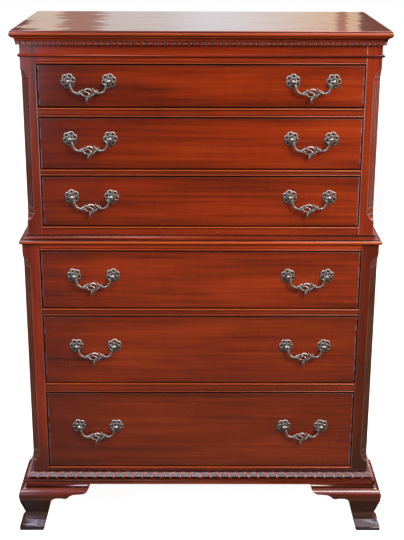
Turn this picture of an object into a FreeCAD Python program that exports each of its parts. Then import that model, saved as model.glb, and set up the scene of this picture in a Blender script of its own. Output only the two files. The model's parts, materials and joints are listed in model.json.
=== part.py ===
import FreeCAD, Part
import math
import os

# A chest on chest: six full-width drawers in two stacked cases, on ogee bracket feet.
# Millimetres. X runs left to right, Y from front to back, Z up from the floor.
# The origin is at the middle of the footprint, on the floor.

V = FreeCAD.Vector

# ---------------------------------------------------------------- driving dimensions

# Cases
upper_case_width = 897.0
upper_case_depth = 488.0
case_step = 14.5            # the lower case stands this far outside the upper one
side_thickness = 20.0
back_thickness = 6.0
back_rebate = 10.0          # the back panel laps this far over each side board
rear_stile = 30.0

# Corner posts
upper_post_width = 39.0
lower_post_width = 44.5
post_depth = 45.0
chamfer_leg = 19.4
chamfer_top_margin = 3.0    # from the top of the highest opening down to the tongue's tip
chamfer_foot_margin = 6.0
tongue_length = 30.0
tongue_step = 2.4           # small ledge where the tongue meets the full chamfer
flute_radius = 3.0
flute_depth = 1.6
flute_pitch = 7.4
flute_count = 3
flute_margin = 15.0         # plain chamfer between a tongue and the flutes
chamfer_entry = 3.0         # how far the chamfer's cut starts outside the post

# Heights, from the floor up
foot_height = 134.5
base_height = 14.0
gadroon_height = 16.0
lower_bottom_rail = 14.0
rail_6_5 = 25.0
rail_5_4 = 18.5
lower_top_rail = 17.0
waist_board_height = 11.0
waist_cove_height = 12.0
upper_bottom_rail = 19.5
rail_3_2 = 15.0
rail_2_1 = 22.0
upper_top_rail = 17.0
astragal_height = 7.0
frieze_height = 23.0
dentil_height = 9.0
cove_height = 11.0
top_thickness = 15.0

# Drawers, 1 at the top to 6 at the bottom
front_height_1 = 104.5
front_height_2 = 130.0
front_height_3 = 130.0
front_height_4 = 156.0
front_height_5 = 190.0
front_height_6 = 221.0
front_gap = 3.0             # dark line all round each front
front_thickness = 20.0
front_edge_radius = 2.5
box_rear_gap = 12.0         # behind a closed drawer, in front of the rear stiles
box_wall = 12.0
box_bottom = 6.0
bottom_groove = 5.0         # depth of the groove that holds the drawer bottom
bottom_lift = 12.0          # from the lower edge of a drawer side to the drawer bottom
side_drop = 12.0            # the drawer sides stop this far below the top of the front
runner_gap = 0.3
guide_gap = 0.6

# Rails and runners
rail_depth = 60.0
rail_recess = 1.0           # rail face behind the posts
bead_radius = 2.0
quirk_width = 1.2
quirk_depth = 1.6
rail_reveal = 1.5           # shadow line between a rail and the posts
reveal_depth = 3.5
runner_width = 50.0
runner_thickness = 12.0
guide_height = 18.0
dust_panel_thickness = 5.0

# Mouldings, as projections from the face that carries them
top_overhang = 15.5
top_edge_foot = 1.8         # the round edge starts this far out, under its widest place
top_edge_bulge = 6.0
top_fillet_reach = 3.6
top_fillet_height = 3.75
top_arris = 1.5
cove_reach = 18.5
cove_fillet = 1.5
cove_lip = 1.0
cove_step = 0.8             # foot of the cove beyond the dentils
dentil_reach = 8.5
dentil_relief = 4.5
dentil_pitch = 14.7
dentil_gap = 4.9
astragal_reach = 5.5
astragal_base = 2.0
frieze_recess = 0.8
frieze_thickness = 20.0
waist_nose = 7.5            # waist board beyond the lower case
waist_cove_reach = 14.0
waist_cove_fillet = 2.0
waist_cove_lip = 1.0
waist_bead_reach = 4.0
waist_bead_height = 2.6
waist_bead_step = 0.6
gadroon_reach = 16.5
gadroon_foot_reach = 10.0
gadroon_top_reach = 4.5
gadroon_belly = 0.42        # height of its widest place, as a share of its own height
base_reach = 20.5
base_arris = 3.0
base_frame_width = 60.0

# Ogee bracket feet
foot_back = 2.0             # bracket's inner face, behind the face of the lower case
foot_neck = 18.0
neck_fillet = 2.0           # plain strip over the bead
foot_bead = 3.5             # half the bead's height
foot_bead_reach = 2.0
knee_reach = 37.0
knee_drop = 32.0
ankle_reach = 22.5          # the narrowest place
ankle_height = 46.0
shoulder_reach = 26.5       # upper arris of the pad's slope
shoulder_height = 27.5
pad_reach = 39.0
pad_height = 12.5           # upright face under the slope
pad_chamfer = 2.2           # eased lower edge of that face
wing_length = 159.0
wing_drop = 21.7            # under edge of the wing's straight stretch, from the bracket's top
wing_end = 20.0             # length of the quarter round at the wing's tip
wing_slope = 1.8            # fall of the straight stretch towards the leg
nose_inset = 89.5           # lowest place of the round nose, from the case's corner
nose_drop = 36.5
nose_width = 16.0
nose_dip = 1.4              # the nose hangs this far under the lobe beside it
nose_rise = 3.5             # and its other side ends this far over its lowest place
step_width = 15.5           # hollow between the nose and the straight stretch
lobe_width = 16.0           # round lobe at the head of the leg
lobe_drop = 18.9
leg_top_inset = 48.5
leg_foot_inset = 28.5
leg_heel = 5.0              # cut corner at the foot of the leg
rear_bracket_length = 120.0
rear_bracket_thickness = 22.0
rear_bracket_end = 14.0     # height cut away at the rear bracket's tip
glue_block = 24.0
glue_block_lift = 12.0

# Pulls
pull_inset = 130.0          # from the side of the upper openings to the middle of a pull
boring_spacing = 101.6
pull_rise = 13.0            # the posts stand this far above the middle of a front
rosette_radius = 19.2
rosette_valley = 17.0       # radius between two lobes
rosette_lobes = 6
rosette_thickness = 3.2
post_radius = 4.5
pin_stand_off = 11.0        # bail axis in front of the drawer front
post_cap = 4.5              # post beyond the bail axis
pin_radius = 1.9
pin_clearance = 0.1
pin_length = 4.7
bore_end_gap = 0.8
arm_gap = 0.4
arm_thickness = 3.0
arm_top = 3.2               # the arms rise this far over the bail's axis
bail_drop = 54.0            # from the axis to the tip of the leaf
bail_thickness = 4.5
round_sides = 6             # sides given to the small round pins, bores and posts

# ---------------------------------------------------------------- derived places

overall_depth = upper_case_depth + case_step + pad_reach
back_y = overall_depth / 2
upper_front_y = back_y - upper_case_depth
lower_front_y = upper_front_y - case_step
upper_half = upper_case_width / 2
lower_half = upper_half + case_step

base_z = foot_height
lower_case_z = base_z + base_height
gadroon_top_z = lower_case_z + gadroon_height
front_height = {1: front_height_1, 2: front_height_2, 3: front_height_3,
                4: front_height_4, 5: front_height_5, 6: front_height_6}


def stack_levels(start_z, drawers, rails):
    """Bottom and top of each drawer opening, given the rails between them."""
    openings = {}
    z = start_z
    for number, rail in zip(drawers, rails):
        openings[number] = (z, z + front_height[number] + 2 * front_gap)
        z = openings[number][1] + rail
    return openings, z


lower_openings, lower_top_z = stack_levels(
    gadroon_top_z + lower_bottom_rail, (6, 5, 4), (rail_6_5, rail_5_4, lower_top_rail))
waist_board_z = lower_top_z
waist_cove_z = waist_board_z + waist_board_height
upper_sill_z = waist_cove_z + waist_cove_height
upper_openings, upper_rail_top_z = stack_levels(
    upper_sill_z + upper_bottom_rail, (3, 2, 1), (rail_3_2, rail_2_1, upper_top_rail))
astragal_z = upper_rail_top_z
dentil_z = astragal_z + astragal_height + frieze_height
cove_z = dentil_z + dentil_height
top_board_z = cove_z + cove_height

pull_offset = upper_half - upper_post_width - pull_inset
bail_half = boring_spacing / 2 - post_radius - arm_gap


# ---------------------------------------------------------------- shape helpers

def block(x0, x1, y0, y1, z0, z1):
    return Part.makeBox(x1 - x0, y1 - y0, z1 - z0, V(x0, y0, z0))


def path_edges(steps, place):
    """Edges through 2D steps: a pair of numbers is a line, a pair of points an arc (middle, end)."""
    here = steps[0]
    edges = []
    for step in steps[1:]:
        if isinstance(step[0], tuple):
            middle, end = step
            edges.append(Part.Arc(place(*here), place(*middle), place(*end)).toShape())
            here = end
        else:
            edges.append(Part.LineSegment(place(*here), place(*step)).toShape())
            here = step
    if here != steps[0]:
        edges.append(Part.LineSegment(place(*here), place(*steps[0])).toShape())
    return edges


def prism(steps, place, run):
    """A closed 2D outline, placed in space and extruded along a vector."""
    face = Part.Face(Part.Wire(path_edges(steps, place)))
    solid = face.extrude(run)
    if solid.Volume < 0:
        solid.reverse()
    return solid


def plan_prism(points, z0, z1):
    return prism(points, lambda x, y: V(x, y, z0), V(0, 0, z1 - z0))


def between(start, end, across, up):
    """The point a given share of the way from start to end, in each direction."""
    return start[0] + across * (end[0] - start[0]), start[1] + up * (end[1] - start[1])


def round_step(start, end, hollow=False):
    """Quarter ellipse from an upright start to a level end, or the hollow one."""
    flat = 1 - math.sqrt(0.5)
    if hollow:
        return between(start, end, 1 - flat, flat), end
    return between(start, end, flat, 1 - flat), end


def mirror_x(shape):
    return shape.mirror(V(0, 0, 0), V(1, 0, 0))


def mitred_run(profile, half, front_y, rear_y, inward=0.0):
    """Front, left and right lengths of a moulding, mitred at the corners.

    The profile is drawn as (projection, height), the projection measured out from the case.
    """
    reach = max(abs(value) for value in (step_reach(profile), inward)) + 1.0
    heights = step_heights(profile)
    z0, z1 = min(heights) - 1.0, max(heights) + 1.0
    out_x, out_y = half + reach, front_y - reach
    in_x, in_y = half - inward, front_y + inward
    front = prism(profile, lambda p, z: V(-out_x, front_y - p, z), V(2 * out_x, 0, 0))
    front = front.common(plan_prism(
        [(-out_x, out_y), (out_x, out_y), (in_x, in_y), (-in_x, in_y)], z0, z1))
    left = prism(profile, lambda p, z: V(-half - p, out_y, z), V(0, rear_y - out_y, 0))
    left = left.common(plan_prism(
        [(-out_x, out_y), (-in_x, in_y), (-in_x, rear_y), (-out_x, rear_y)], z0, z1))
    return [front, left, mirror_x(left)]


def flat_points(steps):
    for step in steps:
        if isinstance(step[0], tuple):
            yield from step
        else:
            yield step


def step_reach(steps):
    return max(point[0] for point in flat_points(steps))


def step_heights(steps):
    return [point[1] for point in flat_points(steps)]


def edged_board(edge, half, front_y, rear_y):
    """A board whose front and side edges carry the same moulded edge, drawn from bottom to top."""
    z0 = edge[0][1]
    z1 = step_heights(edge)[-1]
    inner = half - 1.0
    front_profile = edge + [(-(rear_y - front_y), z1), (-(rear_y - front_y), z0)]
    reach = step_reach(edge) + 1.0
    slab = prism(front_profile, lambda p, z: V(-half - reach, front_y - p, z),
                 V(2 * (half + reach), 0, 0))
    side_profile = edge + [(-inner, z1), (-inner, z0)]
    length = V(0, rear_y - front_y + reach, 0)
    right = prism(side_profile, lambda p, z: V(half + p, front_y - reach, z), length)
    left = mirror_x(right)
    middle = block(-1.0, 1.0, front_y - reach, rear_y, z0, z1)
    return slab.common(right.fuse(middle).fuse(left).removeSplitter())


def save(name, shapes):
    shape = shapes[0] if len(shapes) == 1 else Part.makeCompound(shapes)
    shape.exportStep("parts/" + name + ".step")


# ---------------------------------------------------------------- top and cornice

def top_board():
    """Edge moulded with a bulging round under a small upright fillet."""
    z0, z1 = top_board_z, top_board_z + top_thickness
    round_top = z1 - top_fillet_height
    widest = (top_edge_bulge, (z0 + round_top) / 2)
    corner = (top_fillet_reach, z1 - top_arris)
    edge = [(top_edge_foot, z0), (widest, (top_fillet_reach, round_top)), corner,
            round_step(corner, (top_fillet_reach - top_arris, z1))]
    return edged_board(edge, upper_half + top_overhang, upper_front_y - top_overhang, back_y)


def cornice_cove():
    z0, z1 = cove_z, top_board_z
    foot = (dentil_reach + cove_step, z0 + cove_fillet)
    head = (cove_reach - cove_lip, z1 - cove_fillet)
    profile = [(0, z0), (foot[0], z0), foot, round_step(foot, head),
               (cove_reach, head[1]), (cove_reach, z1), (0, z1)]
    return mitred_run(profile, upper_half, upper_front_y, back_y)


def dentil_outline(length, corner_start, corner_end):
    """Crenellated plan of a dentil strip, as (distance along, projection), with mitred ends."""
    count = max(2, round((length + dentil_gap) / dentil_pitch))
    pitch = (length + dentil_gap) / count
    root = dentil_reach - dentil_relief
    start = dentil_reach if corner_start else 0.0
    end = length - (dentil_reach if corner_end else 0.0)
    points = [(start, 0.0)]
    for index in range(count):
        tooth = index * pitch
        points += [(tooth, dentil_reach), (tooth + pitch - dentil_gap, dentil_reach)]
        if index < count - 1:
            points += [(tooth + pitch - dentil_gap, root), (tooth + pitch, root)]
    points.append((end, 0.0))
    return points


def dentil_moulding():
    front_length = 2 * (upper_half + dentil_reach)
    side_length = upper_case_depth + dentil_reach
    run = V(0, 0, dentil_height)
    left_x = -upper_half - dentil_reach
    front_y = upper_front_y - dentil_reach
    front = prism(dentil_outline(front_length, True, True),
                  lambda s, p: V(left_x + s, upper_front_y - p, dentil_z), run)
    left = prism(dentil_outline(side_length, True, False),
                 lambda s, p: V(-upper_half - p, front_y + s, dentil_z), run)
    return [front, left, mirror_x(left)]


def frieze_board():
    half = upper_half - upper_post_width
    front = upper_front_y + frieze_recess
    return [block(-half, half, front, front + frieze_thickness, astragal_z, top_board_z)]


def half_round(z0, height, base, reach):
    return [(0, z0), (base, z0), ((reach, z0 + height / 2), (base, z0 + height)), (0, z0 + height)]


def astragal_bead():
    profile = half_round(astragal_z, astragal_height, astragal_base, astragal_reach)
    return mitred_run(profile, upper_half, upper_front_y, back_y)


# ---------------------------------------------------------------- corner posts

def corner_post(half, width, front_y, z0, z1, chamfer_z0, chamfer_z1):
    """Left corner post: chamfered outer corner, lamb's-tongue stops, flutes down the chamfer."""
    stock = block(-half, -half + width, front_y, front_y + post_depth, z0, z1)
    corner = V(-half, front_y, 0)
    inward = V(1, 1, 0).normalize()
    across = V(1, -1, 0).normalize()
    depth = chamfer_leg / math.sqrt(2)
    reach = depth + chamfer_entry
    low_end = chamfer_z0 + tongue_length
    high_end = chamfer_z1 - tongue_length
    shoulder = depth - tongue_step
    outline = [(-chamfer_entry, chamfer_z0), (0.0, chamfer_z0)]
    outline += tongue(chamfer_z0, low_end, shoulder)
    outline += [(depth, low_end), (depth, high_end), (shoulder, high_end)]
    outline += tongue(chamfer_z1, high_end, shoulder, falling=True)
    outline += [(-chamfer_entry, chamfer_z1)]
    cutter = prism(outline, lambda u, z: corner + inward * u - across * reach + V(0, 0, z),
                   across * (2 * reach))
    post = stock.cut(cutter)
    centre = corner + inward * (depth + flute_depth - flute_radius)
    flute_z0 = low_end + flute_margin
    flute_z1 = high_end - flute_margin
    for index in range(flute_count):
        offset = (index - (flute_count - 1) / 2) * flute_pitch
        foot = centre + across * offset + V(0, 0, flute_z0)
        post = post.cut(Part.makeCylinder(flute_radius, flute_z1 - flute_z0, foot))
    return post


def tongue(tip_z, end_z, shoulder, falling=False):
    """Ogee of a lamb's tongue from its tip on the corner to its shoulder on the chamfer."""
    span = end_z - tip_z
    turn = (shoulder * 0.5, tip_z + span * 0.5)
    low = (shoulder * 0.12, tip_z + span * 0.27)
    high = (shoulder * 0.88, tip_z + span * 0.73)
    if falling:
        return [(high, turn), (low, (0.0, tip_z))]
    return [(low, turn), (high, (shoulder, end_z))]


def post_pair(half, width, front_y, z0, z1, lowest, highest):
    """Both posts of a case; the chamfers run between its lowest and highest drawer openings."""
    left = corner_post(half, width, front_y, z0, z1,
                       lowest[0] + chamfer_foot_margin, highest[1] - chamfer_top_margin)
    return [left, mirror_x(left)]


def upper_posts():
    return post_pair(upper_half, upper_post_width, upper_front_y, waist_cove_z, top_board_z,
                     upper_openings[3], upper_openings[1])


def lower_posts():
    return post_pair(lower_half, lower_post_width, lower_front_y, lower_case_z, lower_top_z,
                     lower_openings[6], lower_openings[4])


# ---------------------------------------------------------------- sides, back, rear stiles

def side_boards(half, front_y, z0, z1):
    left = block(-half, -half + side_thickness, front_y + post_depth, back_y, z0, z1)
    rebate = block(-half + back_rebate, -half + side_thickness, back_y - back_thickness, back_y, z0, z1)
    left = left.cut(rebate)
    return [left, mirror_x(left)]


def back_panel(half, z0, z1):
    edge = half - back_rebate
    return [block(-edge, edge, back_y - back_thickness, back_y, z0, z1)]


def rear_stiles(half, z0, z1):
    inner = -half + side_thickness
    front = back_y - back_thickness - rear_stile
    left = block(inner, inner + rear_stile, front, back_y - back_thickness, z0, z1)
    return [left, mirror_x(left)]


# ---------------------------------------------------------------- rails

def rail_profile(z0, z1, bead_below, bead_above):
    """Section of a drawer rail as (distance behind the post face, height), beads on its edges."""
    face = rail_recess
    quirk = face + quirk_depth
    wide = 2 * bead_radius
    steps = [(rail_depth, z0), (face, z0)]
    if bead_below:
        steps += [((face - bead_radius, z0 + bead_radius), (face, z0 + wide)), (quirk, z0 + wide),
                  (quirk, z0 + wide + quirk_width), (face, z0 + wide + quirk_width)]
    if bead_above:
        steps += [(face, z1 - wide - quirk_width), (quirk, z1 - wide - quirk_width), (quirk, z1 - wide),
                  (face, z1 - wide), ((face - bead_radius, z1 - bead_radius), (face, z1))]
    else:
        steps.append((face, z1))
    steps.append((rail_depth, z1))
    return steps


def beaded_rail(half, front_y, z0, z1, bead_below=True, bead_above=True):
    profile = rail_profile(z0, z1, bead_below, bead_above)
    rail = prism(profile, lambda p, z: V(-half, front_y + p, z), V(2 * half, 0, 0))
    reveal = block(-half - 1, -half + rail_reveal, front_y - bead_radius, front_y + reveal_depth,
                   z0 - 1, z1 + 1)
    return rail.cut(reveal).cut(mirror_x(reveal))


def case_rails(prefix, half, front_y, z0, z1, openings):
    """Rails of one case by node name; openings run from its lowest drawer to its highest."""
    low, middle, high = openings
    return {
        prefix + "_top_rail": [beaded_rail(half, front_y, high[1], z1, bead_above=False)],
        prefix + "_rails": [beaded_rail(half, front_y, middle[1], high[0]),
                            beaded_rail(half, front_y, low[1], middle[0])],
        prefix + "_bottom_rail": [beaded_rail(half, front_y, z0, low[0], bead_below=False)],
    }


def upper_case_rails():
    return case_rails("upper", upper_half - upper_post_width, upper_front_y, waist_cove_z, astragal_z,
                      [upper_openings[number] for number in (3, 2, 1)])


def lower_case_rails():
    return case_rails("lower", lower_half - lower_post_width, lower_front_y, lower_case_z, lower_top_z,
                      [lower_openings[number] for number in (6, 5, 4)])


# ---------------------------------------------------------------- runners, guides, dust panels

def runner_set(half, post_width, front_y, openings):
    """Runners and guides under each drawer of a case, and kickers over the highest one."""
    opening_half = half - post_width
    inner = half - side_thickness
    y0 = front_y + rail_depth
    y1 = back_y - back_thickness - rear_stile
    solids = []
    for z_low, _ in openings.values():
        runner = block(-inner, -inner + runner_width, y0, y1, z_low - runner_thickness, z_low)
        guide = block(-inner, -opening_half + front_gap - guide_gap, y0, y1, z_low, z_low + guide_height)
        solids += [runner, mirror_x(runner), guide, mirror_x(guide)]
    z_high = max(top for _, top in openings.values())
    kicker = block(-inner, -inner + runner_width, y0, y1, z_high, z_high + runner_thickness)
    return solids + [kicker, mirror_x(kicker)]


def dust_panels(half, front_y, openings):
    edge = half - side_thickness - runner_width
    y1 = back_y - back_thickness - rear_stile
    drop = (runner_thickness + dust_panel_thickness) / 2
    panels = []
    for z_low, _ in openings.values():
        z0 = z_low - drop
        panels.append(block(-edge, edge, front_y + rail_depth, y1, z0, z0 + dust_panel_thickness))
    return panels


# ---------------------------------------------------------------- waist and base

def waist_board():
    middle = waist_board_z + waist_board_height / 2
    edge = [(0.0, waist_board_z), ((waist_nose, middle), (0.0, waist_board_z + waist_board_height))]
    return edged_board(edge, lower_half, lower_front_y, back_y)


def waist_cove():
    z0, z1 = waist_cove_z, upper_sill_z
    bead_z = z1 - waist_bead_height
    foot = (waist_cove_reach - waist_cove_lip, z0 + waist_cove_fillet)
    head = (waist_bead_reach - waist_bead_step, bead_z)
    bead = (waist_bead_reach, (bead_z + z1) / 2)
    profile = [(0, z0), (waist_cove_reach, z0), (waist_cove_reach, foot[1]), foot,
               round_step(foot, head, hollow=True), between(head, bead, 1.0, 0.5),
               between((head[0], z1), bead, 1.0, 0.5), (head[0], z1), (0, z1)]
    return mitred_run(profile, upper_half, upper_front_y, back_y)


def gadroon_moulding():
    z0, z1 = lower_case_z, gadroon_top_z
    foot = (gadroon_foot_reach, z0)
    widest = (gadroon_reach, z0 + gadroon_belly * gadroon_height)
    profile = [(0, z0), foot, (between(foot, widest, 0.7, 0.3), widest),
               round_step(widest, (gadroon_top_reach, z1)), (0, z1)]
    return mitred_run(profile, lower_half, lower_front_y, back_y)


def base_frame():
    """Four boards under the lower case; their nose shows as a fascia above the feet."""
    z0, z1 = base_z, lower_case_z
    back = -base_frame_width
    flat = base_reach - base_arris
    low = (base_reach, z0 + base_arris)
    high = (base_reach, z1 - base_arris)
    profile = [(back, z0), (flat, z0), (between((flat, z0), low, 0.7, 0.3), low),
               high, round_step(high, (flat, z1)), (back, z1)]
    inner = lower_half - base_frame_width
    rear = block(-inner, inner, back_y - base_frame_width, back_y, z0, z1)
    return mitred_run(profile, lower_half, lower_front_y, back_y, inward=base_frame_width) + [rear]


# ---------------------------------------------------------------- ogee bracket feet

def ogee_profile():
    """Section of a bracket as (projection from the case, height): pad, ankle, knee, bead and neck."""
    bead_top = foot_height - neck_fillet
    bead_low = bead_top - 2 * foot_bead
    bead_face = foot_neck + foot_bead_reach
    ankle = (ankle_reach, ankle_height)
    knee = (knee_reach, foot_height - knee_drop)
    neck = (foot_neck, bead_low)
    shin_foot = between(ankle, knee, 0.18, 0.19)
    shin_head = between(ankle, knee, 0.93, 0.8)
    return [(-foot_back, 0), (pad_reach - pad_chamfer, 0), (pad_reach, pad_chamfer),
            (pad_reach, pad_height), (shoulder_reach, shoulder_height), (ankle, shin_foot), shin_head,
            (between(shin_head, knee, 0.7, 0.45), knee),
            (between(knee, neck, 0.19, 0.76), neck),
            (bead_face, bead_low + 0.6 * foot_bead), (bead_face, bead_top - 0.6 * foot_bead),
            (foot_neck, bead_top), (foot_neck, foot_height), (-foot_back, foot_height)]


def bracket_outline(reach):
    """Elevation of a bracket as (distance from the corner, height): leg, lobe, nose and wing."""
    shelf = foot_height - wing_drop
    nose = (nose_inset, foot_height - nose_drop)
    nose_start = (nose_inset - nose_width / 2, nose[1] + nose_dip)
    nose_end = (nose_inset + nose_width / 2, nose[1] + nose_rise)
    lobe_head = (leg_top_inset + lobe_width, nose_start[1])
    lobe_foot = (leg_top_inset, lobe_head[1] - lobe_drop)
    shelf_end = (nose_end[0] + step_width, shelf - wing_slope)
    wing_start = (wing_length - wing_end, shelf)
    tip = (wing_length, foot_height)
    return [(-reach, 0), (leg_foot_inset - leg_heel, 0), (leg_foot_inset, leg_heel), lobe_foot,
            (between(lobe_foot, lobe_head, 0.27, 0.66), lobe_head), nose_start, (nose, nose_end),
            (between(nose_end, shelf_end, 0.42, 0.6), shelf_end), wing_start,
            between(wing_start, tip, 0.45, 0.18), between(wing_start, tip, 0.8, 0.56), tip,
            (-reach, foot_height)]


def bracket_pair(corner_y, rearward):
    """Left foot's two brackets; the side one runs back from a front corner or forward from a rear one."""
    reach = pad_reach + 1.0
    run = reach + wing_length + 1.0
    depth = reach + foot_back + 1.0
    half = lower_half
    turn = 1 if rearward else -1
    elevation = bracket_outline(reach)
    side = prism(ogee_profile(), lambda p, z: V(-half - p, corner_y - turn * reach, z), V(0, turn * run, 0))
    side = side.common(prism(elevation, lambda q, z: V(-half - reach, corner_y + turn * q, z),
                             V(depth, 0, 0)))
    if not rearward:
        return [side]
    front = prism(ogee_profile(), lambda p, z: V(-half - reach, corner_y - p, z), V(run, 0, 0))
    front = front.common(prism(elevation, lambda q, z: V(-half + q, corner_y - reach, z), V(0, depth, 0)))
    outer = (-half - reach, corner_y - reach)
    inner = (-half + foot_back, corner_y + foot_back)
    wedge = [outer, (-half + wing_length, outer[1]), (-half + wing_length, inner[1]), inner]
    mirror_wedge = [outer, inner, (inner[0], corner_y + wing_length), (outer[0], corner_y + wing_length)]
    front = front.common(plan_prism(wedge, -1.0, foot_height + 1.0))
    side = side.common(plan_prism(mirror_wedge, -1.0, foot_height + 1.0))
    return [front, side]


def front_foot():
    return bracket_pair(lower_front_y, True)


def rear_foot():
    side = bracket_pair(back_y - pad_reach, False)[0]
    side = side.common(block(-lower_half - pad_reach - 1, -lower_half + foot_back + 1,
                             back_y - pad_reach - wing_length - 1, back_y, -1.0, foot_height + 1.0))
    x0 = -lower_half + foot_back
    x1 = x0 + rear_bracket_length
    outline = [(x0, 0), (x0 + leg_foot_inset, 0), (x0 + leg_top_inset, foot_height - 2 * wing_drop),
               (x1, foot_height - rear_bracket_end), (x1, foot_height), (x0, foot_height)]
    rear = prism(outline, lambda x, z: V(x, back_y - rear_bracket_thickness, z),
                 V(0, rear_bracket_thickness, 0))
    return [side, rear]


def glue_blocks():
    """A block in the corner behind each pair of brackets."""
    x0 = -lower_half + foot_back
    front_y = lower_front_y + foot_back
    rear_y = back_y - rear_bracket_thickness
    front = block(x0, x0 + glue_block, front_y, front_y + glue_block, glue_block_lift, foot_height)
    rear = block(x0, x0 + glue_block, rear_y - glue_block, rear_y, glue_block_lift, foot_height)
    return [front, mirror_x(front), rear, mirror_x(rear)]


# ---------------------------------------------------------------- drawers

def drawer_place(number):
    """Opening half-width, front plane and opening heights of a drawer."""
    if number in upper_openings:
        return upper_half - upper_post_width, upper_front_y, upper_openings[number]
    return lower_half - lower_post_width, lower_front_y, lower_openings[number]


def rounded_rectangle(low, high, face, back, radius):
    """Section with its two corners at the face rounded, as (position, depth)."""
    bend = radius * (1 - math.sqrt(0.5))
    return [(low, back), (low, face + radius), ((low + bend, face + bend), (low + radius, face)),
            (high - radius, face), ((high - bend, face + bend), (high, face + radius)), (high, back)]


def drawer_front(number):
    opening_half, front_y, (z_low, z_high) = drawer_place(number)
    half = opening_half - front_gap
    z0, z1 = z_low + front_gap, z_high - front_gap
    back = front_y + front_thickness
    upright = prism(rounded_rectangle(z0, z1, front_y, back, front_edge_radius),
                    lambda z, y: V(-half, y, z), V(2 * half, 0, 0))
    level = prism(rounded_rectangle(-half, half, front_y, back, front_edge_radius),
                  lambda x, y: V(x, y, z0), V(0, 0, z1 - z0))
    return [upright.common(level)]


def drawer_box(number):
    """Two sides, a back and a bottom held in grooves, behind the drawer front."""
    opening_half, front_y, (z_low, z_high) = drawer_place(number)
    half = opening_half - front_gap
    y0 = front_y + front_thickness
    y1 = back_y - back_thickness - rear_stile - box_rear_gap
    z0 = z_low + runner_gap
    z1 = z_high - front_gap - side_drop
    floor = z0 + bottom_lift
    inner = half - box_wall
    edge = inner + bottom_groove
    bottom = block(-edge, edge, y0, y1 - box_wall, floor, floor + box_bottom)
    left = block(-half, -inner, y0, y1, z0, z1).cut(bottom)
    back = block(-inner, inner, y1 - box_wall, y1, floor, z1)
    return [left, mirror_x(left), back, bottom]


# ---------------------------------------------------------------- pulls

def pull_centres(number):
    """Middle of each pull, between its two posts, on the face of the drawer front."""
    _, front_y, (z_low, z_high) = drawer_place(number)
    z = (z_low + z_high) / 2 + pull_rise
    return V(-pull_offset, front_y, z), V(pull_offset, front_y, z)


def faceted_rod(start, direction, length, corner_radius):
    """A small round bar with few sides, a corner upwards and flats to the left and right."""
    across = V(0, 0, 1)
    beside = direction.cross(across)
    turn = 2 * math.pi / round_sides
    corners = [start + across * (corner_radius * math.cos(index * turn))
               + beside * (corner_radius * math.sin(index * turn)) for index in range(round_sides)]
    face = Part.Face(Part.makePolygon(corners + corners[:1]))
    return face.extrude(direction * length)


def rosette(centre):
    """A lobed plate: the tips of the lobes lie between the valleys."""
    step = math.pi / rosette_lobes
    corners = []
    for index in range(2 * rosette_lobes):
        radius = rosette_valley if index % 2 else rosette_radius
        corners.append(centre + V(radius * math.sin(index * step), 0, radius * math.cos(index * step)))
    face = Part.Face(Part.makePolygon(corners + corners[:1]))
    return face.extrude(V(0, -rosette_thickness, 0))


def pull_mount(centre, side):
    """Rosette and post of one end of a pull; the post is bored for the bail's pin."""
    origin = centre + V(side * boring_spacing / 2, 0, 0)
    flat_to_corner = 1 / math.cos(math.pi / round_sides)
    post = faceted_rod(origin, V(0, -1, 0), pin_stand_off + post_cap, post_radius * flat_to_corner)
    mouth = origin + V(-side * post_radius, -pin_stand_off, 0)
    bore = faceted_rod(mouth, V(side, 0, 0), pin_length - arm_gap + bore_end_gap,
                       (pin_radius + pin_clearance) * flat_to_corner)
    return rosette(origin).fuse(post).removeSplitter().cut(bore)


def bail_outline():
    """Front outline of a bail about the middle of its pull: two arms, a scroll and a leaf.

    Below the arms' straight tops its points are shares of the bail's half width and of its drop.
    """
    outer = [(-1.0, -0.09), (-1.05, -0.30), (-0.97, -0.50), (-0.72, -0.65), (-0.41, -0.65),
             (-0.25, -0.74), (-0.12, -0.74), (-0.19, -0.87), (-0.14, -1.0), (0.03, -0.77),
             (0.20, -0.69), (0.39, -0.58), (0.63, -0.58), (0.84, -0.47), (0.94, -0.28), (1.0, -0.065)]
    inner = [(0.87, -0.25), (0.75, -0.42), (0.57, -0.48), (0.45, -0.435), (0.41, -0.33), (0.28, -0.39),
             (0.22, -0.28), (-0.11, -0.32), (-0.29, -0.42), (-0.35, -0.33), (-0.44, -0.485),
             (-0.68, -0.515), (-0.88, -0.42), (-0.95, -0.22)]
    arm_in = bail_half - arm_thickness
    left_top = [(-bail_half, arm_top)]
    right_top = [(bail_half, arm_top), (arm_in, arm_top), (arm_in, 0.065 * -bail_drop)]
    inner_top = [(-arm_in, 0.075 * -bail_drop), (-arm_in, arm_top)]
    scaled = [[(x * bail_half, z * bail_drop) for x, z in half] for half in (outer, inner)]
    return left_top + scaled[0] + right_top + scaled[1] + inner_top


def bail(centre):
    """A bail hanging from its two pins."""
    face_y = centre.y - pin_stand_off - bail_thickness / 2
    body = prism(bail_outline(), lambda x, z: V(centre.x + x, face_y, centre.z + z),
                 V(0, bail_thickness, 0))
    axis_y = centre.y - pin_stand_off
    for side in (-1, 1):
        root = V(centre.x + side * bail_half, axis_y, centre.z)
        body = body.fuse(faceted_rod(root, V(side, 0, 0), pin_length, pin_radius))
    return body


# ---------------------------------------------------------------- assembly

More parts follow.
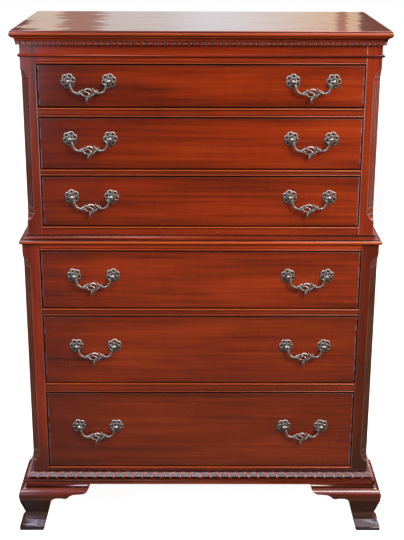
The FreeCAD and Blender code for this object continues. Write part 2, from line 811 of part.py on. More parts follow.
def build():
    os.makedirs("parts", exist_ok=True)
    save("top_board", [top_board()])
    save("cornice_cove", cornice_cove())
    save("dentil_moulding", dentil_moulding())
    save("frieze_board", frieze_board())
    save("astragal_bead", astragal_bead())
    save("upper_posts", upper_posts())
    save("lower_posts", lower_posts())
    save("upper_sides", side_boards(upper_half, upper_front_y, waist_cove_z, top_board_z))
    save("lower_sides", side_boards(lower_half, lower_front_y, lower_case_z, lower_top_z))
    save("upper_back_panel", back_panel(upper_half, waist_cove_z, top_board_z))
    save("lower_back_panel", back_panel(lower_half, lower_case_z, lower_top_z))
    stiles = rear_stiles(upper_half, waist_cove_z, top_board_z)
    save("rear_stiles", stiles + rear_stiles(lower_half, lower_case_z, lower_top_z))
    for rails in (upper_case_rails(), lower_case_rails()):
        for name, solids in rails.items():
            save(name, solids)
    save("upper_runners", runner_set(upper_half, upper_post_width, upper_front_y, upper_openings))
    save("lower_runners", runner_set(lower_half, lower_post_width, lower_front_y, lower_openings))
    panels = dust_panels(upper_half, upper_front_y, upper_openings)
    save("dust_panels", panels + dust_panels(lower_half, lower_front_y, lower_openings))
    save("waist_board", [waist_board()])
    save("waist_cove", waist_cove())
    save("gadroon_moulding", gadroon_moulding())
    save("base_frame", base_frame())
    front = front_foot()
    save("foot_front_left", front)
    save("foot_front_right", [mirror_x(solid) for solid in front])
    rear = rear_foot()
    save("foot_rear_left", rear)
    save("foot_rear_right", [mirror_x(solid) for solid in rear])
    save("foot_glue_blocks", glue_blocks())
    for number in sorted(front_height):
        name = "drawer_%d_" % number
        left, right = pull_centres(number)
        save(name + "front", drawer_front(number))
        save(name + "box", drawer_box(number))
        mounts = [pull_mount(centre, side) for centre in (left, right) for side in (-1, 1)]
        save(name + "pull_mounts", mounts)
        save(name + "bail_left", [bail(left)])
        save(name + "bail_right", [bail(right)])


build()
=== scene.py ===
import json
import math
from functools import reduce
from typing import NamedTuple

import bmesh
import bpy
from mathutils import Matrix, Vector


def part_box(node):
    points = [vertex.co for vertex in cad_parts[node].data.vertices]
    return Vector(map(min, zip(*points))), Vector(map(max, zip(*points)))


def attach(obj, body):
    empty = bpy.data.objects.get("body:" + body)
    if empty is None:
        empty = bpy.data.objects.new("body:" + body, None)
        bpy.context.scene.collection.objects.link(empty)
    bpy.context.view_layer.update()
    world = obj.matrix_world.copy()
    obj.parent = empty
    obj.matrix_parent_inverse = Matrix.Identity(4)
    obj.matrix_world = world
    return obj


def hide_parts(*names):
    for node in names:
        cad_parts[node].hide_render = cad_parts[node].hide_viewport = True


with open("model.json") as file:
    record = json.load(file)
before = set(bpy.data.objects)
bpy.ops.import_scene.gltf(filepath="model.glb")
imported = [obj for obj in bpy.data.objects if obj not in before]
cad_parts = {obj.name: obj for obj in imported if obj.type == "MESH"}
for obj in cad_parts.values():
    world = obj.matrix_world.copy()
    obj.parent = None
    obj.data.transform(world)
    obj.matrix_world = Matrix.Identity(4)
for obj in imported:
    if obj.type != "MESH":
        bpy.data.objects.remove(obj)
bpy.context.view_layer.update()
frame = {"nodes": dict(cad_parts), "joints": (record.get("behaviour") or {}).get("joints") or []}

bl_info = {
    "name": "Chest on Chest",
    "version": (1, 0, 0),
    "blender": (4, 5, 0),
    "location": "View3D > Sidebar > Chest",
    "description": "Polished mahogany, carved gadroon and cast pulls for a chest on chest",
    "category": "Object",
}

MM = 0.001
CASE = "case"
DRAWERS = range(1, 7)
SIDES = ("left", "right")

# places taken from the frame
UPPER_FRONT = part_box("upper_posts")[0].y
LOWER_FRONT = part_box("lower_posts")[0].y
UPPER_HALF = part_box("upper_posts")[1].x
LOWER_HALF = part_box("lower_posts")[1].x
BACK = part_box("upper_back_panel")[1].y
GADROON_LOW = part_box("gadroon_moulding")[0].z

# sizes of the joinery and of the pulls
RAIL_GAP = 3.0 * MM
BEAD = 4.0 * MM
PULL_BORING = 101.6 * MM
NAIL_SPACING = 90.0 * MM
NAIL_INSET = 12.0 * MM


def middle_height(name):
    low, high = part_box(name)
    return (low.z + high.z) / 2


def joint_place(drawer, side):
    """Middle of a pull, on the axis of its bail."""
    name = f"drawer_{drawer}_bail_{side}_swing"
    return Vector(next(joint for joint in frame["joints"] if joint["name"] == name)["pos_m"])


# ---- shader and node maths

def maths(operation):
    """A method of Socket that adds one Math node."""
    def method(self, *others):
        node = self.tree.nodes.new("ShaderNodeMath")
        node.operation = operation
        for slot, value in zip(node.inputs, (self, *others)):
            plug(self.tree, slot, value)
        return Socket(self.tree, node.outputs[0])
    return method


class Socket:
    """A node's output, so that node maths reads as an expression."""

    def __init__(self, tree, source):
        self.tree = tree
        self.source = source

    __add__ = __radd__ = maths("ADD")
    __sub__ = maths("SUBTRACT")
    __mul__ = __rmul__ = maths("MULTIPLY")
    __truediv__ = maths("DIVIDE")
    __pow__ = maths("POWER")
    least = maths("MINIMUM")
    most = maths("MAXIMUM")
    above = maths("GREATER_THAN")
    size = maths("ABSOLUTE")
    part = maths("FRACT")

    def __rsub__(self, other):
        return (self * -1.0) + other

    def limited(self):
        return self.most(0.0).least(1.0)

    def rise(self, low, high):
        """0 below low and 1 above high, easing between."""
        share = ((self - low) / (high - low)).limited()
        return share * share * (3.0 - 2.0 * share)


def plug(tree, slot, value):
    """Gives an input socket a plain value, a link, or a list of links in their order."""
    if isinstance(value, (Socket, list)):
        for one in value if isinstance(value, list) else [value]:
            tree.links.new(one.source, slot)
    elif slot.type == "RGBA" and len(value) == 3:
        slot.default_value = (*value, 1.0)
    else:
        slot.default_value = value


def set_stops(ramp, stops):
    while len(ramp.elements) > 1:
        ramp.elements.remove(ramp.elements[-1])
    for index, (place, color) in enumerate(stops):
        element = ramp.elements[0] if index == 0 else ramp.elements.new(place)
        element.position = place
        element.color = (*color, 1.0)


class Outputs:
    """What a new node gives."""

    def __init__(self, tree, node):
        self.tree = tree
        self.node = node

    def out(self, key=0):
        return Socket(self.tree, self.node.outputs[key])


class Nodes:
    """Adds nodes to one tree of any kind."""

    def __init__(self, tree):
        self.tree = tree
        tree.nodes.clear()

    def node(self, kind, settings=None, sockets=None):
        """A node of a kind: its settings first, then the values or links of its sockets."""
        node = self.tree.nodes.new(kind)
        for key, value in (settings or {}).items():
            if key == "stops":
                set_stops(node.color_ramp, value)
            else:
                setattr(node, key, value)
        for key, value in (sockets or {}).items():
            plug(self.tree, node.inputs[key], value)
        return Outputs(self.tree, node)

    def axes(self, vector):
        split = self.node("ShaderNodeSeparateXYZ", sockets={"Vector": vector})
        return split.out("X"), split.out("Y"), split.out("Z")

    def vector(self, x=0.0, y=0.0, z=0.0):
        return self.node("ShaderNodeCombineXYZ", sockets={"X": x, "Y": y, "Z": z}).out("Vector")

    def noise(self, vector, scale=1.0, detail=2.0, roughness=0.5, distortion=0.0):
        return self.node("ShaderNodeTexNoise", sockets={
            "Vector": vector, "Scale": scale, "Detail": detail, "Roughness": roughness,
            "Distortion": distortion}).out("Fac")

    def mix(self, share, first, second, blend="MIX"):
        settings = {"data_type": "RGBA", "blend_type": blend, "clamp_factor": True}
        return self.node("ShaderNodeMix", settings, {0: share, 6: first, 7: second}).out(2)

    def layered(self, colour, *layers):
        """A colour under thin layers, each a share and a colour."""
        for share, over in layers:
            colour = self.mix(share, colour, over)
        return colour


class Recipe(Nodes):
    """Builds the node tree of one material."""

    def __init__(self, name):
        self.material = bpy.data.materials.new(name)
        self.material.use_nodes = True
        super().__init__(self.material.node_tree)
        self.where = self.node("ShaderNodeTexCoord").out("Object")

    def place(self):
        return self.axes(self.where)

    def stored(self, name):
        return self.node("ShaderNodeAttribute", {"attribute_name": name}).out("Fac")

    def stretched(self, vector, scale):
        return self.node("ShaderNodeVectorMath", {"operation": "MULTIPLY"}, {0: vector, 1: scale}).out("Vector")

    def stretched_noise(self, vector, scale, **settings):
        return self.noise(self.stretched(vector, scale), **settings)

    def bump(self, height, distance, strength):
        return self.node("ShaderNodeBump", sockets={
            "Height": height, "Distance": distance, "Strength": strength}).out("Normal")

    def finish(self, sockets):
        shader = self.node("ShaderNodeBsdfPrincipled", sockets=sockets)
        self.node("ShaderNodeOutputMaterial", sockets={"Surface": shader.out("BSDF")})
        return self.material


class GeometryTree(Nodes):
    """Builds a geometry tree with named inputs, each a name, a socket type and a default."""

    def __init__(self, name, *inputs):
        super().__init__(bpy.data.node_groups.new(name, "GeometryNodeTree"))
        geometry = ("Geometry", "NodeSocketGeometry", None)
        for label, kind, default in (geometry, *inputs):
            socket = self.tree.interface.new_socket(label, in_out="INPUT", socket_type=kind)
            if default is not None:
                socket.default_value = default
        self.tree.interface.new_socket("Geometry", in_out="OUTPUT", socket_type="NodeSocketGeometry")
        self.start = self.node("NodeGroupInput")

    def given(self, label):
        return self.start.out(label)

    def end(self, geometry):
        self.node("NodeGroupOutput", sockets={0: geometry})
        return self.tree

    def end_dressed(self, geometry):
        """Ends the tree in real geometry with its material."""
        real = self.node("GeometryNodeRealizeInstances", sockets={0: geometry})
        dressed = self.node("GeometryNodeSetMaterial", sockets={
            "Geometry": real.out(), "Material": self.given("Material")})
        return self.end(dressed.out())


# ---- sizes and colours a user may change

def length_property(name, description, value):
    return bpy.props.FloatProperty(name=name, description=description, default=value, min=0.0,
                                   subtype="DISTANCE", unit="LENGTH", precision=5)


def colour_property(name, description, value):
    return bpy.props.FloatVectorProperty(name=name, description=description, default=value, size=3,
                                         subtype="COLOR", min=0.0, max=1.0)


def share_property(name, description, value):
    return bpy.props.FloatProperty(name=name, description=description, default=value, min=0.0, max=1.0,
                                   subtype="FACTOR")


def angle_property(name, description, value):
    return bpy.props.FloatProperty(name=name, description=description, default=value, subtype="ANGLE",
                                   unit="ROTATION")


class ChestFinish(bpy.types.PropertyGroup):
    """Colours and polish of the woods and metals."""

    deep: colour_property("Deep mahogany", "Colour of the darkest streaks", (0.060, 0.0085, 0.0025))
    body: colour_property("Mahogany", "Main colour of the polished wood", (0.215, 0.0215, 0.0034))
    light: colour_property("Light mahogany", "Colour of the lightest figure", (0.35, 0.049, 0.0075))
    # The old wax colour also paints shade: it darkens quirks, flutes, corners, rims and grooves where shade
    # falls.
    wax_and_shade_colour: colour_property("Old wax", "Dark wax and dust settled in quirks, flutes and corners",
                           (0.012, 0.005, 0.003))
    gloss: share_property("Polish", "Weight of the clear polish", 1.0)
    plain_wood: colour_property("Plain wood", "Drawer sides, backs and bottoms", (0.42, 0.25, 0.11))
    metal_dark: colour_property("Patina", "Aged metal in the hollows", (0.042, 0.040, 0.036))
    metal_light: colour_property("Rubbed metal", "Aged metal where hands rub it", (0.40, 0.38, 0.335))
    arris: length_property("Arris", "Radius of the eased edges of the wood", 0.9 * MM)


class ChestStage(bpy.types.PropertyGroup):
    """Where the camera stands and how it looks at the chest."""

    camera_place: bpy.props.FloatVectorProperty(
        name="Camera place", description="Where the camera stands", subtype="TRANSLATION",
        unit="LENGTH", default=(-0.00878, -2.98172, 1.6698))
    pitch: angle_property("Camera pitch", "How far the camera looks down", 0.3214)
    yaw: angle_property("Camera yaw", "How far the camera turns right", 0.0045)
    roll: angle_property("Camera roll", "How far the camera leans", 0.0031)
    lens: bpy.props.FloatProperty(name="Lens", description="Focal length in millimetres", default=74.0)


# ---- woods

# Colours for the darker lower parts of the feet, posts and bottom rail, and of the foot of the pads
FOOT_DARK = (0.050, 0.030, 0.022)
LOW_DARK = (0.016, 0.0075, 0.0045)
PAD_DARK = (0.006, 0.004, 0.004)
PAD_TOP = (0.030, 0.044)
# Painted bluish highlight along the ends of the drawer fronts
END_HIGHLIGHT = (0.17, 0.20, 0.28)
NICK_COLOUR = (0.50, 0.30, 0.20)
NAIL_STEEL = (0.16, 0.145, 0.13)


class Wood(NamedTuple):
    """How the mahogany of one part is cut, toned, worn and polished."""

    along: str = "x"  # the way the grain runs
    mitre: tuple = None  # half width and front of a run that turns the corners
    shade: float = 1.0  # tone against the plain finish, partly the wood's own and partly painted light for how brightly each part is lit
    painted_light_drift: float = 0.0  # how much lighter the right-hand end is painted: painted light
    ribbon: float = 1.0  # strength of the ribbon stripe
    darkening: tuple = None  # height where the darker colour below starts to end, where it ends, its colour
    beads: tuple = ()  # heights of beaded edges
    # colour of the painted highlight along the beads
    bead_highlight: tuple = (0.42, 0.080, 0.013)
    bead_dull: float = 0.0  # share of the polish that a bead lacks
    board: tuple = None  # half width, middle, half height and face of a drawer front
    carved: bool = False  # gadroon, with its relief stored on the mesh
    ledge: float = None  # height of a moulding that shades the fascia under it
    wax_and_shade: tuple = (0.06, 0.40)  # how closed a hollow is where the painted shade, as old wax, starts and where it is full
    # colour of the painted shade in hollows, when not the finish's
    hollow_colour: tuple = None
    edge: float = 0.5  # strength of the rubbed edges, partly wear and partly a painted highlight along the arris
    edge_wear_and_highlight: tuple = (0.52, 0.115, 0.022)  # colour of the rubbed edges and of their painted highlight
    rub: tuple = (0.28, 0.62)  # how open an edge is where the rubbing starts and where it is full
    smudge: tuple = (0.32, 0.62)  # range of the noise that breaks the rubbing up
    sheen: float = 0.07  # roughness of the polish
    coat: float = 1.5  # refractive index of the polish


def dimmed(colour, share):
    return tuple(share * channel for channel in colour)


def grain_space(recipe, along, mitre=None):
    """Object coordinates with the grain's direction first; a mitred run turns with its corner."""
    x, y, z = recipe.place()
    if along == "z":
        return recipe.vector(z, x, y)
    if mitre is None:
        return recipe.vector(x, y, z)
    half, front = mitre
    side = ((x.size() - half) - (front - y)).above(0.0)
    run = x + side * (y - x)
    across = y + side * (x - y)
    return recipe.vector(run, across, z)


def occlusion_share(recipe, distance, low, high, inside=False):
    """1 in a narrow hollow of the piece, or along its outer edges when looked at from inside, else 0."""
    settings = {"samples": 6, "only_local": True, "inside": inside}
    open_share = recipe.node("ShaderNodeAmbientOcclusion", settings, {"Distance": distance}).out("AO")
    return (1.0 - open_share).rise(low, high)


def darkened_below(recipe, colour, figure, wood):
    """Darker below a height, and darker still at the foot of the pads."""
    low, high, darkening = wood.darkening
    z = recipe.place()[2]
    below = 1.0 - (z + 0.03 * (figure - 0.5)).rise(low, high)
    return recipe.layered(colour, (0.72 * below, darkening), (0.6 * (1.0 - z.rise(*PAD_TOP)), PAD_DARK))


def beaded(recipe, colour, wood, wax_and_shade_colour):
    """Beads with a painted highlight, and a painted shade line in the quirk beside them, and the share of the
    polish that they lack.
    """
    z = recipe.place()[2]
    nearest = reduce(Socket.least, ((z - height).size() for height in wood.beads))
    # Painted highlight along each bead.
    bead = 1.0 - nearest.rise(0.5 * BEAD, 0.9 * BEAD)
    # Painted shade in the quirk beside each bead.
    quirk = 1.0 - (nearest - 1.15 * BEAD).size().rise(0.15 * BEAD, 0.36 * BEAD)
    colour = recipe.layered(colour, (0.6 * bead, wood.bead_highlight), (0.9 * quirk, wax_and_shade_colour))
    return colour, wood.bead_dull * bead


def shaded_edges(recipe, board):
    """Share of darker colour towards the ends and edges of a drawer front: a shaded stain, with painted shade
    heaviest on its left and a painted shadow line at its top and bottom edges.
    """
    x, _, z = recipe.place()
    half_width, middle, half_height, _ = board
    cloud = recipe.stretched_noise(recipe.where, (5.0, 5.0, 11.0), detail=3.0)
    end = (x.size() + 0.10 * (cloud - 0.5)).rise(half_width - 0.13, half_width + 0.01)
    # Painted shade: the left end darker, where less light falls.
    left = (0.0 - x + 0.12 * (cloud - 0.5)).rise(half_width - 0.20, half_width + 0.02)
    rim = ((z - middle).size() + 0.02 * (cloud - 0.5)).rise(half_height - 0.030, half_height + 0.004)
    # Painted shadow line at the top and bottom edges, as in the gap by a rail.
    line = (z - middle).size().rise(half_height - 0.0026, half_height - 0.0008)
    return (0.05 * end + 0.42 * left + 0.38 * rim + 0.5 * line).limited()


def framed(recipe, colour, wood, finish):
    """A drawer front, darker towards its rim with painted shade and a painted shadow along it, with a painted
    bluish highlight at its ends, and the share of the polish that it lacks.
    """
    x, y, z = recipe.place()
    half_width, middle, half_height, face = wood.board
    # Painted bluish highlight along the ends, near the face, broken into patches.
    near_face = 1.0 - y.rise(face + 1.5 * MM, face + 3.0 * MM)
    end = x.size().rise(half_width - 3.2 * MM, half_width - 2.2 * MM) * near_face
    patchy = recipe.noise(recipe.where, scale=55.0, detail=3.0).rise(0.35, 0.62)
    # Painted shadow along the top and bottom rim.
    rim = (z - middle).size().rise(half_height - 2.6 * MM, half_height - 1.4 * MM)
    colour = recipe.layered(
        colour, (0.85 * shaded_edges(recipe, wood.board), dimmed(finish.deep, 0.55)),
        (0.7 * end * patchy, END_HIGHLIGHT), (0.5 * rim, finish.wax_and_shade_colour))
    return colour, 0.85 * rim.most(end)


def gadrooned(recipe, colour, wax_and_shade_colour):
    """Lobes painted a brighter orange with a painted highlight at their tips, and reeds painted dark, with
    painted shade in their grooves and a painted highlight below their tops.
    """
    relief, lobe, up = (recipe.stored(name) for name in ("relief", "lobe", "round"))
    between = 1.0 - lobe
    # Painted highlight on the reeds below their tops.
    shine = up.rise(0.28, 0.36) * (1.0 - up.rise(0.48, 0.60))
    reed = recipe.mix(shine, (0.085, 0.066, 0.090), (0.80, 0.78, 1.0))
    # Painted highlight at the tips of the lobes.
    tip = relief.rise(0.45, 0.9) * up.rise(0.30, 0.38) * (1.0 - up.rise(0.50, 0.60))
    # Painted shade in the grooves and over the reeds, then the painted highlights, and the lobes painted
    # brighter.
    return recipe.layered(
        colour,
        ((1.0 - relief.rise(0.45, 0.92)) * between, wax_and_shade_colour),
        (0.85 * between, (0.020, 0.009, 0.012)),
        (relief.rise(0.88, 0.97) * between, reed),
        (0.9 * lobe * relief.rise(0.15, 0.6), (0.31, 0.050, 0.006)),
        (0.25 * lobe * tip, (0.74, 0.58, 0.60)))


def mahogany(name, finish, wood):
    """Polished red mahogany: figure, ribbon stripe, pores, painted shade in hollows as old wax, rubbed edges
    with a painted highlight, clear coat, and a tone that carries painted light.
    """
    recipe = Recipe(f"mahogany_{name}")
    space = grain_space(recipe, wood.along, wood.mitre)
    warp = recipe.stretched_noise(space, (1.3, 6.0, 6.0))
    figure = recipe.stretched_noise(space, (2.6, 14.0, 14.0), detail=4.0, distortion=0.7)
    stripe = recipe.stretched_noise(space, (2.8, 95.0, 95.0), detail=4.0, roughness=0.62, distortion=0.35)
    ripple = recipe.stretched_noise(space, (75.0, 9.0, 9.0), detail=1.0)
    pores = recipe.stretched_noise(space, (70.0, 1500.0, 1500.0), detail=1.0).rise(0.60, 0.70)
    level = 0.40 + 0.80 * (figure - 0.5) + wood.ribbon * 0.90 * (stripe - 0.5) + 0.12 * (ripple - 0.5)
    level = (level + 0.55 * (warp - 0.5)).limited()
    stops = [(0.0, finish.deep), (0.45, finish.body), (1.0, finish.light)]
    colour = recipe.node("ShaderNodeValToRGB", {"stops": stops}, {"Fac": level}).out("Color")
    colour = recipe.mix(0.40 * pores, colour, dimmed(finish.deep, 0.35))
    # Painted light: the part's tone, lighter or darker towards its right-hand end by its drift.
    tone = wood.shade * (1.0 + wood.painted_light_drift * (recipe.place()[0] / LOWER_HALF))
    colour = recipe.mix(1.0, colour, tone, blend="MULTIPLY")
    matt = 0.0
    if wood.darkening:
        colour = darkened_below(recipe, colour, figure, wood)
    if wood.beads:
        colour, matt = beaded(recipe, colour, wood, finish.wax_and_shade_colour)
    if wood.board:
        colour, matt = framed(recipe, colour, wood, finish)
    if wood.carved:
        colour = gadrooned(recipe, colour, finish.wax_and_shade_colour)
    # Painted shade in hollows and narrow recesses, coloured as old wax.
    hollow = occlusion_share(recipe, 7.0 * MM, *wood.wax_and_shade).most(occlusion_share(recipe, 2.4 * MM, 0.10, 0.38))
    # Painted shadow on the ledge just under the gadroon.
    if wood.ledge:
        hollow = hollow.most(recipe.place()[2].rise(wood.ledge - 4.2 * MM, wood.ledge - 3.0 * MM))
    smear = recipe.stretched_noise(space, (7.0, 13.0, 13.0), detail=4.0)
    # Rubbed edges: wear, and a painted highlight along the arris.
    rubbed = occlusion_share(recipe, 2.2 * MM, *wood.rub, inside=True) * smear.rise(*wood.smudge)
    specks = {"Vector": recipe.stretched(space, (28.0, 60.0, 60.0)), "Scale": 1.0, "Randomness": 1.0}
    nick = 1.0 - recipe.node("ShaderNodeTexVoronoi", sockets=specks).out("Distance").rise(0.035, 0.075)
    nick = nick * recipe.stretched_noise(space, (9.0, 11.0, 11.0), detail=0.0).rise(0.66, 0.72)
    colour = recipe.layered(
        colour, (0.85 * hollow, wood.hollow_colour or finish.wax_and_shade_colour), (wood.edge * rubbed, wood.edge_wear_and_highlight),
        (0.5 * nick, NICK_COLOUR))
    return recipe.finish({
        "Base Color": colour,
        "Roughness": 0.20 + 0.12 * smear + 0.12 * pores + 0.2 * nick + 0.25 * hollow,
        "Normal": recipe.bump(stripe * 0.15 - pores * 0.7 - nick * 0.5, 0.25 * MM, 0.5),
        "Specular IOR Level": 0.2,
        "Coat Weight": finish.gloss * (1.0 - 0.9 * hollow) * (1.0 - matt),
        "Coat Roughness": wood.sheen,
        "Coat IOR": wood.coat})


def stepped(place, step):
    """How far a place is, with its sign, from the nearest of equal steps."""
    return ((place / step).part() - 0.5) * step


def reach_from(one, two):
    """Distance from a point, from how far it is both ways."""
    return (one * one + two * two) ** 0.5


def plain_wood(name, finish, along="x", shade=1.0, nailed=None):
    """Planed secondary wood with pale and brown grain lines; nailed gives the reach of a board's nail lines."""
    recipe = Recipe(name)
    space = grain_space(recipe, along)
    rings = recipe.stretched_noise(space, (1.6, 34.0, 34.0), detail=4.0, roughness=0.6, distortion=0.5)
    fibre = recipe.stretched_noise(space, (22.0, 900.0, 900.0))
    darkening = recipe.stretched_noise(space, (3.0, 6.0, 6.0), detail=3.0)
    dark = dimmed(finish.plain_wood, 0.45 * shade)
    level = (0.5 + 1.3 * (rings - 0.5) + 0.5 * (fibre - 0.5)).limited()
    colour = recipe.mix(level, dark, dimmed(finish.plain_wood, shade))
    colour = recipe.mix(0.35 * darkening, colour, dimmed(dark, 0.7))
    height = fibre * 0.6 + rings * 0.4
    if nailed:
        x, _, z = recipe.place()
        half_width, middle, half_height = nailed
        side = reach_from(x.size() - half_width, stepped(z, NAIL_SPACING))
        ends = reach_from((z - middle).size() - half_height, stepped(x, NAIL_SPACING))
        away = side.least(ends)
        head = 1.0 - away.rise(2.6 * MM, 3.1 * MM)
        rust = 1.0 - away.rise(2.5 * MM, 8.0 * MM)
        colour = recipe.layered(colour, (0.55 * rust, dimmed(dark, 0.25)), (head, NAIL_STEEL))
        height = height * (1.0 - head) - 0.8 * head
    return recipe.finish({"Base Color": colour, "Roughness": 0.5 + 0.2 * fibre,
                          "Normal": recipe.bump(height, 0.3 * MM, 0.6)})


# ---- metals

def antique_brass(name, finish):
    """Cast brass, dark in its hollows and rubbed bright on its high places."""
    recipe = Recipe(name)
    cloud = recipe.noise(recipe.where, scale=190.0, detail=4.0, roughness=0.65)
    grit = recipe.noise(recipe.where, scale=1500.0)
    rubbed = (recipe.stored("wear") + 0.7 * (cloud - 0.5)).rise(0.18, 0.80)
    green = recipe.noise(recipe.where, scale=420.0).rise(0.55, 0.75) * (1.0 - rubbed)
    colour = recipe.mix(rubbed, finish.metal_dark, finish.metal_light)
    return recipe.finish({
        "Base Color": recipe.mix(0.4 * green, colour, (0.10, 0.115, 0.09)),
        "Metallic": 0.72 + 0.28 * rubbed,
        "Roughness": 0.54 - 0.14 * rubbed + 0.16 * (grit - 0.5),
        "Normal": recipe.bump(grit * 0.4 + cloud * 0.6, 0.35 * MM, 0.5)})


def steel(name):
    """Darkened steel of the nuts behind the pulls."""
    recipe = Recipe(name)
    cloud = recipe.noise(recipe.where, scale=600.0, detail=3.0)
    colour = recipe.mix(cloud, (0.05, 0.045, 0.04), (0.20, 0.17, 0.14))
    return recipe.finish({"Base Color": colour, "Metallic": 0.9, "Roughness": 0.35 + 0.3 * cloud})


# ---- eased edges on the wood

def easing_tree():
    """Joins loose triangles and shades curved faces smooth, sharp edges sharp."""
    build = GeometryTree("join_and_shade")
    merged = build.node("GeometryNodeMergeByDistance", sockets={
        "Geometry": build.given("Geometry"), "Distance": 0.01 * MM})
    smooth = build.node("GeometryNodeSetShadeSmooth", sockets={"Geometry": merged.out()})
    crease = build.node("GeometryNodeInputMeshEdgeAngle").out("Unsigned Angle").above(math.radians(38.0))
    sharp = build.node("GeometryNodeSetShadeSmooth", {"domain": "EDGE"}, {
        "Geometry": smooth.out(), "Selection": crease, "Shade Smooth": False})
    return build.end(sharp.out())


def add_modifier(piece, name, kind, **settings):
    modifier = piece.modifiers.new(name, kind)
    for key, value in settings.items():
        setattr(modifier, key, value)


def ease_edges(piece, tree, width):
    """A planed and sanded arris: joined faces, small rounded edges, even shading."""
    add_modifier(piece, "join", "NODES", node_group=tree)
    add_modifier(piece, "flat", "DECIMATE", decimate_type="DISSOLVE", angle_limit=math.radians(0.4))
    if width > 0.0:
        add_modifier(piece, "arris", "BEVEL", width=width, segments=2, limit_method="ANGLE",
                     angle_limit=math.radians(42.0), harden_normals=True, use_clamp_overlap=True)
    add_modifier(piece, "shade", "WEIGHTED_NORMAL", keep_sharp=True)


def dress(name, material, width=None):
    """Gives a CAD part its material and, with a width, its eased edges."""
    piece = frame["nodes"][name]
    for slot in piece.material_slots:
        slot.material = material
    if width is not None:
        ease_edges(piece, bpy.data.node_groups.get("join_and_shade") or easing_tree(), width)


# ---- mesh helpers

def circle(count):
    """Equal turns round a circle."""
    return [2 * math.pi * step / count for step in range(count)]


def smooth_points(points, steps=4):
    """Points on a smooth curve through the given rows of numbers."""
    rows = [points[0], *points, points[-1]]
    dense = []
    for a, b, c, d in zip(rows, rows[1:], rows[2:], rows[3:]):
        for step in range(steps):
            t = step / steps
            dense.append(tuple(
                0.5 * (2 * q + (r - p) * t + (2 * p - 5 * q + 4 * r - s) * t * t
                       + (3 * q - p - 3 * r + s) * t ** 3)
                for p, q, r, s in zip(a, b, c, d)))
    dense.append(tuple(points[-1]))
    return dense


def add_loops(bm, loops, closed=False):
    """Skins rings of points, all of the same count, and closes the ends of an open run."""
    rings = [[bm.verts.new(point) for point in loop] for loop in loops]
    skin_rings(bm, rings, closed)


def skin_rings(bm, rings, closed=False):
    """Faces between rings of vertices."""
    count = len(rings[0])
    for one, two in list(zip(rings, rings[1:])) + ([(rings[-1], rings[0])] if closed else []):
        for index in range(count):
            after = (index + 1) % count
            bm.faces.new((one[index], one[after], two[after], two[index]))
    if not closed:
        bm.faces.new(rings[0][::-1])
        bm.faces.new(rings[-1])


def add_stroke(bm, points, flat=0.75, lift=0.0, stout=1.0):
    """A cast strap in the XZ plane with rounded ends: each point is x, z and half width, in mm."""
    rows = smooth_points([(x, z, half * stout) for x, z, half in points])
    loops = []
    for index, (x, z, half) in enumerate(rows):
        before, after = rows[max(index - 1, 0)], rows[min(index + 1, len(rows) - 1)]
        ahead = Vector((after[0] - before[0], 0.0, after[1] - before[1])).normalized()
        across = Vector((-ahead.z, 0.0, ahead.x))
        rounds = [(1.0, 0.0)]
        if index == 0:
            rounds = [(0.35, -0.9), (0.8, -0.55), (1.0, 0.0)]
        if index == len(rows) - 1:
            rounds = [(1.0, 0.0), (0.8, 0.55), (0.35, 0.9)]
        for share, move in rounds:
            middle = Vector((x, -lift, z)) + ahead * move * half
            loops.append([
                (middle + across * half * share * math.cos(turn)
                 + Vector((0.0, 1.0, 0.0)) * half * flat * share * math.sin(turn)) * MM
                for turn in circle(10)])
    add_loops(bm, loops)


def smooth_shaded(mesh):
    for polygon in mesh.polygons:
        polygon.use_smooth = True
    return mesh


def finish_mesh(bm, name):
    bmesh.ops.recalc_face_normals(bm, faces=bm.faces)
    mesh = bpy.data.meshes.new(name)
    bm.to_mesh(mesh)
    bm.free()
    return mesh


def place_object(name, data):
    piece = bpy.data.objects.new(name, data)
    bpy.context.scene.collection.objects.link(piece)
    return piece


def baked(piece, name):
    """The piece's mesh with its modifiers made real."""
    graph = bpy.context.evaluated_depsgraph_get()
    mesh = bpy.data.meshes.new_from_object(piece.evaluated_get(graph))
    mesh.name = name
    bpy.data.objects.remove(piece)
    return mesh


def fused(mesh, voxel, keep):
    """One cast skin over overlapping forms, thinned to a share of its faces."""
    work = place_object("casting", mesh)
    add_modifier(work, "skin", "REMESH", mode="VOXEL", voxel_size=voxel)
    add_modifier(work, "soften", "SMOOTH", iterations=2, factor=0.5)
    add_modifier(work, "thin", "DECIMATE", ratio=keep)
    return smooth_shaded(baked(work, mesh.name))


def grown(mesh, tree, values, name):
    """The plain mesh that a geometry tree makes from a mesh and its input values."""
    work = place_object("work", mesh)
    modifier = work.modifiers.new("tree", "NODES")
    modifier.node_group = tree
    for item in tree.interface.items_tree:
        if item.item_type == "SOCKET" and item.in_out == "INPUT" and item.name in values:
            modifier[item.identifier] = values[item.name]
    return baked(work, name)


def add_piece(name, mesh, body, slot, material, *stands_for):
    """A finished piece at the origin, riding on its body."""
    piece = place_object(name, mesh)
    mesh.materials.clear()
    mesh.materials.append(material)
    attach(piece, body)
    if stands_for:
        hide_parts(*stands_for)


# ---- cast pulls

